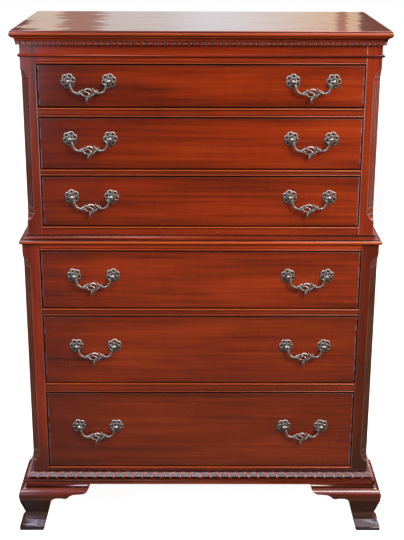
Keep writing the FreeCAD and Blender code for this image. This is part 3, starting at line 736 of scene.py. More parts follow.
BAIL_STROKES = (
    # left arm, from its top past the pin down to the ornament
    ((-44.4, 1.4, 1.4), (-44.4, -1.5, 1.45), (-44.9, -5.5, 2.0), (-45.0, -9.5, 2.8), (-44.0, -14.6, 2.9),
     (-41.6, -21.3, 2.8), (-37.4, -26.4, 2.8), (-31.3, -29.5, 2.9), (-24.4, -30.6, 3.3),
     (-18.5, -30.6, 3.0), (-15.4, -32.2, 1.9)),
    # left leaf, curling up to its tip, and its small leaflet
    ((-30.0, -29.2, 1.6), (-25.0, -28.0, 2.3), (-20.4, -26.4, 2.5), (-17.2, -23.8, 2.1),
     (-15.5, -21.0, 1.3), (-14.9, -18.9, 0.6)),
    ((-27.0, -28.4, 1.4), (-23.6, -25.8, 1.3), (-21.9, -23.6, 0.7)),
    # lower left scroll
    ((-17.6, -31.6, 1.8), (-14.6, -33.9, 1.7), (-11.4, -36.2, 1.6), (-7.0, -37.2, 1.6),
     (-2.6, -36.8, 1.6), (0.6, -35.0, 1.5)),
    # arch with its volute, running down to the right scroll
    ((-10.2, -27.0, 1.9), (-11.8, -24.9, 1.4), (-10.2, -21.8, 1.6), (-6.0, -19.2, 1.8),
     (-1.0, -18.6, 1.9), (3.6, -20.0, 1.8), (6.9, -23.0, 1.6), (7.6, -27.2, 1.4), (6.6, -31.4, 1.3),
     (8.0, -35.2, 2.1)),
    # band between the upper holes
    ((-9.4, -25.4, 1.4), (-4.6, -26.2, 1.5), (-0.6, -28.4, 1.7)),
    # right leaf with two tips
    ((28.0, -29.8, 2.2), (22.6, -28.4, 2.8), (17.4, -25.7, 2.8), (13.6, -22.4, 2.1),
     (10.9, -19.0, 1.4), (9.5, -16.4, 0.8)),
    ((23.6, -27.0, 1.8), (20.6, -23.4, 1.3), (19.0, -20.0, 0.6)),
    # right arm
    ((24.0, -29.8, 2.4), (31.3, -28.7, 2.4), (37.4, -25.4, 2.4), (41.0, -20.3, 2.5), (42.8, -14.4, 2.6),
     (43.4, -9.6, 2.7), (44.3, -5.3, 2.0), (44.4, -1.5, 1.45), (44.4, 1.4, 1.4)),
    ((42.6, -11.0, 2.0), (40.8, -7.4, 1.9), (39.9, -4.8, 1.0)),
    # right lower scroll
    ((18.4, -28.4, 1.6), (13.8, -30.4, 1.5), (11.4, -33.2, 1.5), (8.6, -36.0, 2.0)),
    # central leaf and tail
    ((-1.6, -27.6, 1.5), (1.2, -30.8, 2.3), (1.4, -35.0, 2.5), (2.9, -38.8, 2.0), (4.9, -42.2, 0.7)),
    ((0.6, -34.8, 2.0), (-1.8, -39.4, 2.5), (-4.4, -43.8, 2.7), (-4.9, -48.4, 2.1),
     (-3.4, -51.8, 1.1), (-2.2, -53.4, 0.5)),
    ((-2.6, -40.6, 1.7), (-5.8, -44.6, 1.5), (-7.3, -48.6, 0.6)),
)

VEIN_STROKES = (
    ((-34.0, -28.4, 0.55), (-28.0, -30.0, 0.6), (-22.0, -29.6, 0.6), (-17.6, -26.0, 0.5), (-15.4, -21.2, 0.35)),
    ((-30.0, -31.4, 0.5), (-23.0, -32.2, 0.55), (-17.0, -32.6, 0.5), (-12.0, -36.3, 0.5)),
    ((32.0, -28.2, 0.5), (24.0, -28.4, 0.6), (17.0, -25.2, 0.6), (12.4, -20.8, 0.5), (10.0, -17.4, 0.35)),
    ((22.4, -26.4, 0.45), (19.8, -22.2, 0.35)),
    ((0.8, -30.4, 0.5), (1.8, -35.4, 0.55), (4.2, -41.0, 0.35)),
    ((-0.6, -37.0, 0.5), (-4.2, -43.6, 0.55), (-3.4, -51.0, 0.35)),
    ((-10.6, -22.4, 0.4), (-5.6, -19.0, 0.5), (0.0, -18.6, 0.5), (5.4, -21.4, 0.4)),
    ((-45.2, -8.0, 0.5), (-43.6, -15.8, 0.55), (-39.6, -24.2, 0.5)),
    ((42.0, -9.0, 0.5), (42.6, -15.4, 0.5), (39.4, -23.0, 0.45)),
)

ARM_REACH = 40.0


def bail_mesh():
    """One bail about its own pin axis, hanging at rest."""
    bm = bmesh.new()
    for points in BAIL_STROKES:
        is_arm = max(abs(x) for x, _, _ in points) > ARM_REACH
        add_stroke(bm, points, flat=0.78, stout=1.14 if is_arm else 1.24)
    for points in VEIN_STROKES:
        add_stroke(bm, points, flat=1.0, lift=1.95)
    for side in (-1, 1):
        add_loops(bm, [[Vector((side * x, 1.9 * math.cos(turn), 1.9 * math.sin(turn))) * MM
                        for turn in circle(16)] for x in (43.2, 47.3)])
    return fused(smooth_shaded(finish_mesh(bm, "bail")), 0.42 * MM, 0.30)


def store_wear(mesh):
    """Marks how far each place stands out from those around it, from 0 in a hollow to 1 on a crest."""
    bm = bmesh.new()
    bm.from_mesh(mesh)
    near = [[edge.other_vert(vert).index for edge in vert.link_edges] for vert in bm.verts]
    bm.verts.ensure_lookup_table()
    level = []
    for vert, others in zip(bm.verts, near):
        middle = sum((bm.verts[index].co for index in others), Vector()) / max(len(others), 1)
        level.append((vert.co - middle).dot(vert.normal) / (0.11 * MM))
    for _ in range(3):
        level = [0.5 * own + 0.5 * sum(level[index] for index in others) / max(len(others), 1)
                 for own, others in zip(level, near)]
    bm.free()
    layer = mesh.attributes.new("wear", "FLOAT", "POINT")
    layer.data.foreach_set("value", [min(1.0, max(0.0, 0.35 + 0.65 * value)) for value in level])
    return mesh


# ---- rosettes, posts and nuts

ROSETTE_LOOPS = 6
ROSETTE_RADIUS = 19.5
RIM_SECTION = ((14.6, 1.6), (15.6, 3.0), (17.0, 2.6), (17.6, 1.2), (16.8, 0.2), (15.2, 0.2))
STRAP_SECTIONS = ((8.0, 1.7, 1.6), (11.0, 1.8, 1.5), (14.4, 1.8, 1.3), (16.2, 1.6, 1.1))
POST_PROFILE = ((9.4, 0.0), (9.4, 3.2), (8.6, 4.0), (7.6, 4.7), (6.6, 4.1), (6.2, 3.4), (4.6, 3.6), (3.9, 4.6),
                (3.7, 7.0), (4.5, 8.8), (4.8, 10.6), (4.7, 12.4), (4.1, 14.0), (2.9, 15.1), (1.2, 15.5))


def dome(radius):
    """How far a rosette stands off the front, in mm, at a radius."""
    return 1.2 + 3.0 * max(0.0, 1.0 - (radius / ROSETTE_RADIUS) ** 2)


def petal_loop_mesh():
    """One pierced petal of a rosette: a raised rim round a hole."""
    bm = bmesh.new()
    loops = []
    for turn in circle(24):
        along = 12.5 + 5.0 * math.cos(turn)
        half = (4.9 + 1.5 * math.cos(turn)) * math.sin(turn)
        centre = Vector((half, 0.0, along))
        outward = Vector((math.sin(turn) * 1.1, 0.0, math.cos(turn))).normalized()
        height = dome(math.hypot(half, along)) - 0.3
        loops.append([(centre + outward * 1.85 * math.cos(lean)
                       + Vector((0.0, -height - 1.5 * math.sin(lean), 0.0))) * MM for lean in circle(8)])
    add_loops(bm, loops, closed=True)
    return smooth_shaded(finish_mesh(bm, "petal_loop"))


def add_turned(bm, profile, sides=32):
    """A turned form about the Y axis: profile rows are radius and distance off the front, in mm."""
    add_loops(bm, [[Vector((radius * math.cos(turn), -off, radius * math.sin(turn))) * MM
                    for turn in circle(sides)] for radius, off in profile])


def rosette_core_mesh():
    """Turned post with its ball head, the raised ring and the straps between the petals."""
    bm = bmesh.new()
    add_turned(bm, POST_PROFILE)
    add_loops(bm, [[Vector((radius * math.sin(turn), -off, radius * math.cos(turn))) * MM
                    for radius, off in RIM_SECTION] for turn in circle(48)], closed=True)
    for index in range(ROSETTE_LOOPS):
        turn = 2 * math.pi * (index + 0.5) / ROSETTE_LOOPS
        across = Vector((math.cos(turn), 0.0, -math.sin(turn)))
        loops = []
        for radius, half, thick in STRAP_SECTIONS:
            centre = Vector((math.sin(turn) * radius, -dome(radius) + 0.5, math.cos(turn) * radius))
            loops.append([(centre + across * half * math.cos(lean)
                           + Vector((0.0, thick * math.sin(lean), 0.0))) * MM for lean in circle(8)])
        add_loops(bm, loops)
    return smooth_shaded(finish_mesh(bm, "rosette_core"))


def nut_mesh():
    """Washer, six-sided nut and bolt end, standing off the inner face of a drawer front."""
    bm = bmesh.new()
    add_turned(bm, [(6.2, 0.0), (6.2, -0.7), (5.8, -1.0)], sides=20)
    add_turned(bm, [(4.6, -0.9), (4.6, -3.6), (4.1, -4.1)], sides=6)
    add_turned(bm, [(2.0, -4.0), (2.0, -5.6), (1.5, -6.0)], sides=12)
    return finish_mesh(bm, "nut")


def ring_tree():
    """Copies one loop round the Y axis and joins it to a core."""
    build = GeometryTree("ring_of_loops", ("Loop", "NodeSocketObject", None), ("Count", "NodeSocketInt", 6),
                         ("Material", "NodeSocketMaterial", None))
    line = build.node("GeometryNodeMeshLine", sockets={
        "Count": build.given("Count"), "Offset": (0.0, 0.0, 0.0)})
    loop = build.node("GeometryNodeObjectInfo", sockets={"Object": build.given("Loop")})
    turn = build.node("GeometryNodeInputIndex").out() * (2 * math.pi) / build.given("Count")
    copies = build.node("GeometryNodeInstanceOnPoints", sockets={
        "Points": line.out(), "Instance": loop.out("Geometry"), "Rotation": build.vector(y=turn)})
    joined = build.node("GeometryNodeJoinGeometry", sockets={0: [copies.out(), build.given("Geometry")]})
    return build.end_dressed(joined.out())


def scatter_tree():
    """Sets one casting at every point, each turned about the Y axis by its own amount."""
    build = GeometryTree("casting_at_points", ("Casting", "NodeSocketObject", None),
                         ("Turn", "NodeSocketFloat", 1.0), ("Seed", "NodeSocketInt", 0),
                         ("Material", "NodeSocketMaterial", None))
    casting = build.node("GeometryNodeObjectInfo", sockets={"Object": build.given("Casting")})
    own_share = build.node("FunctionNodeRandomValue", {"data_type": "FLOAT"}, {
        2: 0.0, 3: 1.0, "Seed": build.given("Seed")}).out(1)
    copies = build.node("GeometryNodeInstanceOnPoints", sockets={
        "Points": build.given("Geometry"), "Instance": casting.out("Geometry"),
        "Rotation": build.vector(y=own_share * build.given("Turn"))})
    return build.end_dressed(copies.out())


def rosette_mesh(material):
    petal = place_object("petal", petal_loop_mesh())
    joined = grown(rosette_core_mesh(), ring_tree(), {
        "Loop": petal, "Count": ROSETTE_LOOPS, "Material": material}, "rosette")
    bpy.data.objects.remove(petal)
    return fused(joined, 0.40 * MM, 0.22)


def set_at(places, casting, tree, seed, material, name):
    """One mesh with a casting at each place."""
    mesh = bpy.data.meshes.new("places")
    mesh.from_pydata(places, [], [])
    return grown(mesh, tree, {"Casting": casting, "Turn": math.radians(60.0), "Seed": seed,
                              "Material": material}, name)


# ---- gadroon

GADROON_SIZES = {"Pitch": 26.31 * MM, "Lobe": 0.31, "Lobe depth": 3.4 * MM, "Reed depth": 2.0 * MM,
                 "Lean": 9.7 * MM, "First lobe": 3.4 * MM}
GADROON_ROWS = 16
GADROON_COLUMNS = 34
# reach and height of the moulding's section, in mm
GADROON_FOOT = (10.0, 0.0)
GADROON_BELLY = (16.5, 7.6)
GADROON_TOP = (4.5, 19.5)
GADROON_REACH = LOWER_HALF + GADROON_BELLY[0] * MM


class ChestGadroon(bpy.types.PropertyGroup):
    """Carved moulding around the foot of the lower case."""

    pitch: length_property("Pitch", "Run from one lobe to the next", GADROON_SIZES["Pitch"])
    lobe: share_property("Lobe", "Share of the pitch that the lobe takes", GADROON_SIZES["Lobe"])
    lobe_depth: length_property("Lobe depth", "How far a lobe stands off its groove",
                                GADROON_SIZES["Lobe depth"])
    reed_depth: length_property("Reed depth", "How far a reed stands off its groove",
                                GADROON_SIZES["Reed depth"])
    lean: length_property("Lean", "How far the carving leans towards the middle", GADROON_SIZES["Lean"])
    first: length_property("First lobe", "Place of the first lobe from the middle",
                           GADROON_SIZES["First lobe"])


def arc_through(a, b, c):
    """Centre, radius, start and sweep of the arc from a by b to c."""
    (ax, ay), (bx, by), (cx, cy) = a, b, c
    aa, bb, cc = ax * ax + ay * ay, bx * bx + by * by, cx * cx + cy * cy
    d = 2 * (ax * (by - cy) + bx * (cy - ay) + cx * (ay - by))
    ux = (aa * (by - cy) + bb * (cy - ay) + cc * (ay - by)) / d
    uy = (aa * (cx - bx) + bb * (ax - cx) + cc * (bx - ax)) / d
    start = math.atan2(ay - uy, ax - ux)
    end = math.atan2(cy - uy, cx - ux)
    return ux, uy, math.hypot(ax - ux, ay - uy), start, (end - start) % (2 * math.pi)


def gadroon_section():
    """Rows up the moulding: reach and height in mm, share of the way up, and the outward direction."""
    flat = 1 - math.sqrt(0.5)
    (fx, fy), (bx, by), (tx, ty) = GADROON_FOOT, GADROON_BELLY, GADROON_TOP
    lower = arc_through((fx, fy), (fx + 0.7 * (bx - fx), fy + 0.3 * (by - fy)), (bx, by))
    upper = arc_through((bx, by), (bx + flat * (tx - bx), by + (1 - flat) * (ty - by)), (tx, ty))
    split = lower[2] * lower[4] / (lower[2] * lower[4] + upper[2] * upper[4])
    points = []
    for index in range(GADROON_ROWS + 1):
        v = index / GADROON_ROWS
        arc, share = (lower, v / split) if v < split else (upper, (v - split) / (1 - split))
        ux, uy, radius, start, sweep = arc
        out, up = math.cos(start + share * sweep), math.sin(start + share * sweep)
        points.append((ux + radius * out, uy + radius * up, v, out, up))
    return points


def gadroon_body_mesh():
    """Three mitred lengths in one closed ring of strips, with the places the carving follows stored on it."""
    ring = [(0.0, 0.0, -1.0, 0.0, 0.0), *gadroon_section(), (0.0, GADROON_TOP[1], -1.0, 0.0, 0.0)]
    depth = BACK - LOWER_FRONT + GADROON_BELLY[0] * MM
    step = GADROON_SIZES["Pitch"] / GADROON_COLUMNS
    across = round(2 * GADROON_REACH / step)
    along = round(depth / step)
    stations = [("left", index / along) for index in range(along)]
    stations += [("front", -1.0 + 2.0 * index / across) for index in range(across + 1)]
    stations += [("right", index / along) for index in reversed(range(along))]
    bm = bmesh.new()
    run_layer = bm.verts.layers.float.new("run")
    round_layer = bm.verts.layers.float.new("round")
    outward_layer = bm.verts.layers.float_vector.new("outward")
    rings = []
    for kind, share in stations:
        rings.append([])
        for reach, height, v, out, up in ring:
            reach, height = reach * MM, GADROON_LOW + height * MM
            if kind == "front":
                place = (share * (LOWER_HALF + reach), LOWER_FRONT - reach, height)
                run, outward = abs(share) * GADROON_REACH, (0.0, -out, up)
                if abs(share) > 0.9999:
                    outward = (math.copysign(out, share), -out, up)
            else:
                side = -1 if kind == "left" else 1
                place = (side * (LOWER_HALF + reach), BACK + share * (LOWER_FRONT - reach - BACK), height)
                run, outward = GADROON_REACH + (1 - share) * depth, (side * out, 0.0, up)
            vert = bm.verts.new(place)
            vert[run_layer], vert[round_layer], vert[outward_layer] = run, v, outward
            rings[-1].append(vert)
    skin_rings(bm, rings)
    return smooth_shaded(finish_mesh(bm, "gadroon_body"))


def gadroon_tree():
    """Carves leaning lobes and reeds along stored outward directions."""
    sizes = {**GADROON_SIZES, "Corner": GADROON_REACH}
    build = GeometryTree("carve_gadroon", *((label, "NodeSocketFloat", size) for label, size in sizes.items()),
                         ("Material", "NodeSocketMaterial", None))

    def stored(name, kind="FLOAT"):
        node = build.node("GeometryNodeInputNamedAttribute", {"data_type": kind}, {"Name": name})
        return node.out("Attribute")

    def store(geometry, name, value):
        return build.node("GeometryNodeStoreNamedAttribute", {"data_type": "FLOAT", "domain": "POINT"}, {
            "Geometry": geometry, "Name": name, "Value": value}).out()

    def rounded(place):
        """Height of a half-round over a place from -1 to 1."""
        return (1.0 - place * place).most(0.0) ** 0.5

    run, v = stored("run"), stored("round")
    corner, lobe = build.given("Corner"), build.given("Lobe")
    folded = run.least(corner) + (run - corner).most(0.0)
    shift = build.given("Lean") * v.rise(0.22, 1.05) + 2.2 * MM * (1.0 - v.rise(0.0, 0.3))
    lean = shift * (1.0 - 2.0 * run.above(corner))
    phase = ((folded + lean - build.given("First lobe")) / build.given("Pitch") + 0.5 * lobe + 8.0).part()
    in_lobe = 1.0 - phase.above(lobe)
    between = 1.0 - in_lobe
    top_end = 1.0 - v.rise(0.86, 1.02)
    lobe_height = in_lobe * rounded((phase / lobe) * 2.0 - 1.0) * (v.rise(-0.02, 0.16) * top_end)
    reed_phase = (((phase - lobe) / (1.0 - lobe)).limited() * 4.0).part() * 2.0 - 1.0
    reed_height = between * rounded(reed_phase) * (v.rise(0.16, 0.40) * top_end)
    height = lobe_height * build.given("Lobe depth") + reed_height * build.given("Reed depth")
    sunk = 1.7 * MM * between * (1.0 - v.rise(0.1, 0.42))
    carved = (height - 2.6 * MM - sunk) * v.above(-0.5) * v.rise(-0.01, 0.02)
    offset = build.node("ShaderNodeVectorMath", {"operation": "SCALE"}, {
        0: stored("outward", "FLOAT_VECTOR"), "Scale": carved}).out("Vector")
    moved = build.node("GeometryNodeSetPosition", sockets={
        "Geometry": build.given("Geometry"), "Offset": offset}).out()
    marked = store(moved, "relief", (lobe_height + reed_height).limited())
    return build.end_dressed(store(marked, "lobe", in_lobe))


# ---- finish of each part of the case

# tone of each drawer front, partly the veneer's own and partly painted light, and how much lighter its
# right-hand end is painted: painted light falling from the right
FRONT_TONE_AND_LIGHT = {1: (0.94, 0.28), 2: (1.03, 0.24), 3: (1.14, 0.05),
          4: (1.24, -0.10), 5: (1.06, -0.12), 6: (0.86, 0.0)}

UPPER_RUN = (UPPER_HALF, UPPER_FRONT)
LOWER_RUN = (LOWER_HALF, LOWER_FRONT)
COCK_BEADS = [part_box(f"drawer_{number}_front")[end].z + side * RAIL_GAP
              for number in DRAWERS for end, side in ((0, -1), (1, 1))]

WOODS = {
    # top: painted highlight on the torus of its edge
    "top": Wood(sheen=0.01, beads=[middle_height("top_board")], bead_highlight=(0.29, 0.050, 0.010),
                bead_dull=0.75),
    # cornice cove: painted lighter against the shadow under the top
    "cornice": Wood(mitre=UPPER_RUN, shade=2.2),
    # dentils: painted bluish-grey shade in the gaps between the teeth
    "dentils": Wood(mitre=UPPER_RUN, hollow_colour=(0.26, 0.31, 0.38)),
    "frieze": Wood(),
    "astragal": Wood(mitre=UPPER_RUN, shade=0.85, coat=1.3),
    # upper posts: a painted lavender highlight along the arrises, and lighter to the right
    "upper_posts": Wood(along="z", painted_light_drift=0.15, wax_and_shade=(0.05, 0.20), edge=0.72, edge_wear_and_highlight=(0.58, 0.40, 0.42),
                        rub=(0.11, 0.24), smudge=(0.22, 0.56)),
    "sides": Wood(along="z"),
    # rails: painted a little lighter, painted highlights on the beads, and a painted shadow, with wax, at the
    # foot of the lower bottom rail over the gadroon
    "rails": Wood(shade=1.12, beads=COCK_BEADS, darkening=(0.1700, 0.1735, LOW_DARK)),
    "waist_moulding": Wood(mitre=UPPER_RUN, shade=0.85, sheen=0.35, coat=1.25),
    # waist board: painted lighter, with a painted highlight on its nose
    "waist": Wood(shade=1.8, beads=[middle_height("waist_board")], bead_highlight=(0.50, 0.085, 0.010),
                  bead_dull=0.6),
    # rail under the waist board: painted lighter against the shadow of the board over it
    "waist_rail": Wood(shade=2.3, beads=COCK_BEADS),
    # lower posts: painted lighter on the left, and darker towards the bottom
    "lower_posts": Wood(along="z", shade=0.90, painted_light_drift=-0.4, darkening=(0.15, 0.34, LOW_DARK), wax_and_shade=(0.05, 0.20),
                        edge=0.45, edge_wear_and_highlight=(0.42, 0.22, 0.16), rub=(0.10, 0.22)),
    # base frame: painted lighter towards the right, and a painted shadow on the ledge under the gadroon
    "lower_moulding": Wood(mitre=LOWER_RUN, shade=1.8, painted_light_drift=0.5, ledge=GADROON_LOW),
    "feet": Wood(mitre=LOWER_RUN, shade=0.64, darkening=(0.080, 0.115, FOOT_DARK), coat=1.6),
}

# each part's wood, and its eased edges against the arris of the finish
CASE_PARTS = {
    "top_board": ("top", 1.0),
    "cornice_cove": ("cornice", 0.35),
    "dentil_moulding": ("dentils", 0.35),
    "frieze_board": ("frieze", 0.5),
    "astragal_bead": ("astragal", 0.35),
    "upper_posts": ("upper_posts", 1.2),
    "upper_sides": ("sides", 1.0),
    "upper_top_rail": ("rails", 0.3),
    "upper_rails": ("rails", 0.3),
    "upper_bottom_rail": ("rails", 0.3),
    "waist_cove": ("waist_moulding", 0.35),
    "waist_board": ("waist", 0.5),
    "lower_top_rail": ("waist_rail", 0.3),
    "lower_posts": ("lower_posts", 1.2),
    "lower_sides": ("sides", 1.0),
    "lower_rails": ("rails", 0.3),
    "lower_bottom_rail": ("rails", 0.3),
    "base_frame": ("lower_moulding", 0.0),
    "foot_front_left": ("feet", 0.5),
    "foot_front_right": ("feet", 0.5),
    "foot_rear_left": ("feet", 0.0),
    "foot_rear_right": ("feet", 0.0),
}
INNER_PARTS = ("upper_runners", "lower_runners", "dust_panels", "foot_glue_blocks")


# ---- operators

class FinishCase(bpy.types.Operator):
    """Polish the case: posts, sides, rails, mouldings, top and feet"""

    bl_idname = "chest.finish_case"
    bl_label = "Finish the case"

    def execute(self, context):
        finish = context.scene.chest_finish
        woods = {name: mahogany(name, finish, wood) for name, wood in WOODS.items()}
        for part, (wood, easing) in CASE_PARTS.items():
            dress(part, woods[wood], easing * finish.arris)
        for part in ("upper_back_panel", "lower_back_panel"):
            low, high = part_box(part)
            nailed = (high.x - NAIL_INSET, (low.z + high.z) / 2, (high.z - low.z) / 2 - NAIL_INSET)
            dress(part, plain_wood(f"board_{part}", finish, "z", 0.8, nailed))
        dress("rear_stiles", plain_wood("stile_wood", finish, "z", 0.8))
        inner = plain_wood("inner_wood", finish)
        for part in INNER_PARTS:
            dress(part, inner)
        return {"FINISHED"}


class FinishDrawers(bpy.types.Operator):
    """Polish the drawer fronts and plane the drawer boxes"""

    bl_idname = "chest.finish_drawers"
    bl_label = "Finish the drawers"

    def execute(self, context):
        finish = context.scene.chest_finish
        box_wood = plain_wood("drawer_wood", finish)
        for number in DRAWERS:
            part = f"drawer_{number}_front"
            low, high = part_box(part)
            board = (high.x, (low.z + high.z) / 2, (high.z - low.z) / 2, low.y)
            shade, painted_light_drift = FRONT_TONE_AND_LIGHT[number]
            veneer = Wood(ribbon=1.3, shade=shade, painted_light_drift=painted_light_drift, board=board)
            dress(part, mahogany(f"front_{number}", finish, veneer), finish.arris)
            dress(f"drawer_{number}_box", box_wood)
        return {"FINISHED"}


class CarveGadroon(bpy.types.Operator):
    """Carve the gadroon moulding at the foot of the lower case"""

    bl_idname = "chest.carve_gadroon"
    bl_label = "Carve the gadroon"

    def execute(self, context):
        carving = context.scene.chest_gadroon
        material = mahogany("gadroon", context.scene.chest_finish, Wood(mitre=LOWER_RUN, carved=True, edge=0.0))
        mesh = grown(gadroon_body_mesh(), gadroon_tree(), {
            "Pitch": carving.pitch, "Lobe": carving.lobe, "Lobe depth": carving.lobe_depth,
            "Reed depth": carving.reed_depth, "Lean": carving.lean, "First lobe": carving.first,
            "Corner": GADROON_REACH, "Material": material}, "gadroon")
        add_piece("gadroon", mesh, CASE, "mahogany_case", material, "gadroon_moulding")
        return {"FINISHED"}


class CastPulls(bpy.types.Operator):
    """Cast the rosettes with their posts, and the bails that hang from them"""

    bl_idname = "chest.cast_pulls"
    bl_label = "Cast the pulls"

    def execute(self, context):
        brass = antique_brass("antique_brass_cast", context.scene.chest_finish)
        nut_steel = steel("nut_steel")
        nut = place_object("nut", nut_mesh())
        rosette = place_object("rosette", store_wear(rosette_mesh(brass)))
        bail = store_wear(bail_mesh())
        tree = scatter_tree()
        for number in DRAWERS:
            drawer = f"drawer_{number}"
            outer, inner = (corner.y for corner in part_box(f"{drawer}_front"))
            posts = []
            for side in SIDES:
                middle = joint_place(number, side)
                posts += [(middle.x + turn * PULL_BORING / 2, middle.z) for turn in (-1, 1)]
                hung = bail.copy()
                hung.transform(Matrix.Translation(middle))
                name = f"{drawer}_bail_{side}"
                add_piece(f"{name}_cast", hung, name, "antique_brass", brass, name)
            name = f"{drawer}_rosettes"
            mesh = set_at([(x, outer, z) for x, z in posts], rosette, tree, number, brass, name)
            add_piece(name, mesh, drawer, "antique_brass", brass, f"{drawer}_pull_mounts")
            name = f"{drawer}_nuts"
            mesh = set_at([(x, inner, z) for x, z in posts], nut, tree, number + 10, nut_steel, name)
            add_piece(name, mesh, drawer, "antique_brass", nut_steel)
        for pattern in (nut, rosette):
            bpy.data.objects.remove(pattern)
        bpy.data.meshes.remove(bail)
        return {"FINISHED"}


class SetStage(bpy.types.Operator):
    """Set the floor, the soft lights and the camera"""

    bl_idname = "chest.set_stage"
    bl_label = "Set the stage"

    def execute(self, context):
        set_camera(context.scene.chest_stage)
        set_floor()
        set_world()
        for light in LIGHTS:
            area_light(*light)
        context.scene.view_settings.view_transform = "Standard"
        return {"FINISHED"}


# ---- camera, floor, world and lights

WHITE = (1.0, 1.0, 1.0)
CEILING = (0.22, 0.16, 0.12)
FLOOR_REACH = 12.0
# name, place, target, width and height, power, colour
LIGHTS = (
    ("window_left", (-2.9, -2.6, 2.3), (0, 0, 0.85), (2.2, 2.4), 58.0, (0.80, 0.87, 1.0)),
    ("window_right", (1.9, -2.1, 2.65), (0.1, 0, 1.1), (1.2, 1.3), 118.0, (1.0, 0.91, 0.80)),
    ("ceiling", (0.2, -1.5, 3.2), (0, 0.1, 0.9), (2.8, 1.0), 36.0, (1.0, 0.80, 0.58)),
)


def set_camera(stage):
    data = bpy.data.cameras.new("camera")
    data.sensor_width = 36.0
    data.lens = stage.lens
    camera = place_object("camera", data)
    ahead = Vector((math.sin(stage.yaw) * math.cos(stage.pitch), math.cos(stage.yaw) * math.cos(stage.pitch),
                    -math.sin(stage.pitch)))
    right = Vector((math.cos(stage.yaw), -math.sin(stage.yaw), 0.0))
    up = right.cross(ahead)
    lean_right = math.cos(stage.roll) * right + math.sin(stage.roll) * up
    lean_up = -math.sin(stage.roll) * right + math.cos(stage.roll) * up
    turn = Matrix((lean_right, lean_up, -ahead)).transposed().to_4x4()
    camera.matrix_world = Matrix.Translation(stage.camera_place) @ turn
    bpy.context.scene.camera = camera


def set_floor():
    corners = [(x * FLOOR_REACH, y * FLOOR_REACH, 0) for x, y in ((-1, -1), (1, -1), (1, 1), (-1, 1))]
    mesh = bpy.data.meshes.new("floor")
    mesh.from_pydata(corners, [], [(0, 1, 2, 3)])
    floor = place_object("floor", mesh)
    recipe = Recipe("pale_floor")
    grain = recipe.noise(recipe.where, scale=3.0, detail=3.0)
    colour = recipe.mix(grain, (0.80, 0.80, 0.80), (0.86, 0.86, 0.86))
    mesh.materials.append(recipe.finish({"Base Color": colour, "Roughness": 0.7, "Emission Color": WHITE,
                                         "Emission Strength": 0.93}))
    floor.visible_diffuse = False
    floor.visible_glossy = False


def room_ahead(sky, x, z):
    """What the fronts mirror: dark straight ahead, the floor below and a paler room at the sides."""
    left, down = 0.0 - x, 0.0 - z
    haze = left.rise(0.126, 0.162) * (1.0 - left.rise(0.24, 0.4)) * z.rise(-0.235, -0.125)
    return sky.layered(
        sky.mix(down.rise(0.12, 0.52), (0.012, 0.010, 0.010), (0.22, 0.25, 0.19)),
        (left.rise(0.06, 0.24), (0.22, 0.21, 0.30)),
        (x.rise(0.08, 0.24), (0.26, 0.20, 0.17)),
        (x.size().rise(0.55, 0.85), (0.42, 0.34, 0.26)),
        (down.rise(0.68, 0.88), (0.05, 0.03, 0.02)),
        (haze, (1.8, 1.7, 2.2)))


def room_above(sky, ahead, x, y, z):
    """What rounded edges mirror: panes of light over the room, a strip under the ceiling, side windows."""
    left, right = (0.0 - x).rise(0.13, 0.17), x.rise(0.05, 0.11)
    sides = right.most(left)
    band = sky.mix(sides, (0.16, 0.13, 0.30), (1.4, 1.35, 1.9))
    panes = z.rise(0.46, 0.52) * (1.0 - z.rise(0.64, 0.70)) * x.size().rise(0.142, 0.166)
    strip = sky.mix(right, sky.mix(left, (0.45, 0.22, 0.12), (14.0, 14.0, 18.0)), (19.0, 17.0, 13.0))
    window = z.rise(0.08, 0.20) * (1.0 - z.rise(0.62, 0.74)) * (0.0 - y).rise(-0.1, 0.1)
    return sky.layered(
        sky.mix(z.rise(0.0, 0.45), ahead, (0.13, 0.11, 0.13)),
        (z.rise(0.30, 0.42), band),
        (panes, sky.mix(left, (5.5, 5.5, 7.2), (3.0, 3.0, 3.9))),
        (z.rise(0.80, 0.84), strip),
        (z.rise(0.90, 0.93), sky.mix(sides, CEILING, (2.7, 2.6, 3.3))),
        (z.rise(0.965, 0.99), CEILING),
        (window * (0.0 - x).rise(0.42, 0.52) * (1.0 - (0.0 - x).rise(0.80, 0.88)), (4.2, 4.5, 5.6)),
        (window * x.rise(0.38, 0.48) * (1.0 - x.rise(0.78, 0.88)), (6.0, 5.4, 4.8)))


def back_wall(sky, x, y, z):
    """What the flat top mirrors, from left to right: a pale wall, a little ragged, between dark ends."""
    azimuth = x / y.most(0.05)
    uneven = sky.noise(sky.vector(x * 9.0, z * 700.0), detail=3.0) - 0.5
    ragged = azimuth + 0.055 * uneven
    steady = azimuth + 0.016 * uneven
    return sky.layered(
        (0.10, 0.05, 0.03),
        (ragged.rise(-0.153, -0.149), (0.80, 0.68, 0.55)),
        (ragged.rise(-0.124, -0.116), (0.41, 0.24, 0.185)),
        (ragged.rise(-0.090, -0.078), (0.74, 0.71, 0.69)),
        (ragged.rise(-0.045, 0.01), (0.87, 0.89, 0.93)),
        (ragged.rise(0.01, 0.14), (0.84, 0.62, 0.42)),
        (steady.rise(0.120, 0.126) * (1.0 - steady.rise(0.130, 0.134)), (0.42, 0.20, 0.14)),
        (steady.rise(0.141, 0.146), (0.12, 0.06, 0.04)))


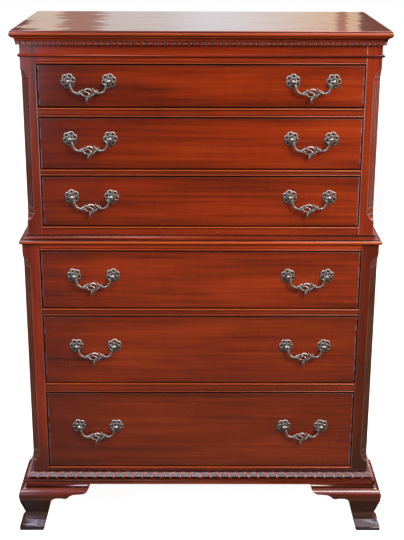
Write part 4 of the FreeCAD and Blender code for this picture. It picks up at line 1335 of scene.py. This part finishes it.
def set_world():
    """Soft room light, a white background, and the room that the polish mirrors."""
    world = bpy.data.worlds.new("studio")
    bpy.context.scene.world = world
    world.use_nodes = True
    sky = Nodes(world.node_tree)
    x, y, z = sky.axes(sky.node("ShaderNodeTexCoord").out("Generated"))
    low_wall = y.rise(0.5, 0.6) * (1.0 - z.rise(0.30, 0.42))
    mirrored = sky.mix(low_wall, room_above(sky, room_ahead(sky, x, z), x, y, z), back_wall(sky, x, y, z))
    lit = sky.mix(z.rise(-0.25, 0.5), (0.07, 0.055, 0.05), (0.30, 0.30, 0.31))
    ways = sky.node("ShaderNodeLightPath")
    seen = sky.layered(lit, (ways.out("Is Glossy Ray"), mirrored), (ways.out("Is Camera Ray"), WHITE))
    background = sky.node("ShaderNodeBackground", sockets={"Color": seen})
    sky.node("ShaderNodeOutputWorld", sockets={"Surface": background.out()})


def area_light(name, place, target, size, power, colour):
    data = bpy.data.lights.new(name, "AREA")
    data.shape = "RECTANGLE"
    data.size, data.size_y = size
    data.energy = power
    data.color = colour
    light = place_object(name, data)
    light.location = place
    light.rotation_euler = (Vector(target) - Vector(place)).to_track_quat("-Z", "Y").to_euler()
    light.visible_camera = False
    light.visible_glossy = False


# ---- panel and registration

class ChestPanel(bpy.types.Panel):
    """Lists the steps that finish the chest"""

    bl_idname = "VIEW3D_PT_chest"
    bl_label = "Chest on Chest"
    bl_space_type = "VIEW_3D"
    bl_region_type = "UI"
    bl_category = "Chest"

    def draw(self, context):
        for step in STEPS:
            self.layout.operator(step.bl_idname)


STEPS = (FinishCase, FinishDrawers, CarveGadroon, CastPulls, SetStage)
CLASSES = (ChestFinish, ChestStage, ChestGadroon, *STEPS, ChestPanel)


def register():
    for cls in CLASSES:
        bpy.utils.register_class(cls)
    bpy.types.Scene.chest_finish = bpy.props.PointerProperty(type=ChestFinish)
    bpy.types.Scene.chest_stage = bpy.props.PointerProperty(type=ChestStage)
    bpy.types.Scene.chest_gadroon = bpy.props.PointerProperty(type=ChestGadroon)


def unregister():
    del bpy.types.Scene.chest_gadroon
    del bpy.types.Scene.chest_stage
    del bpy.types.Scene.chest_finish
    for cls in reversed(CLASSES):
        bpy.utils.unregister_class(cls)


def main():
    register()
    for step in STEPS:
        group, name = step.bl_idname.split(".")
        getattr(getattr(bpy.ops, group), name)()


if __name__ == "__main__":
    main()
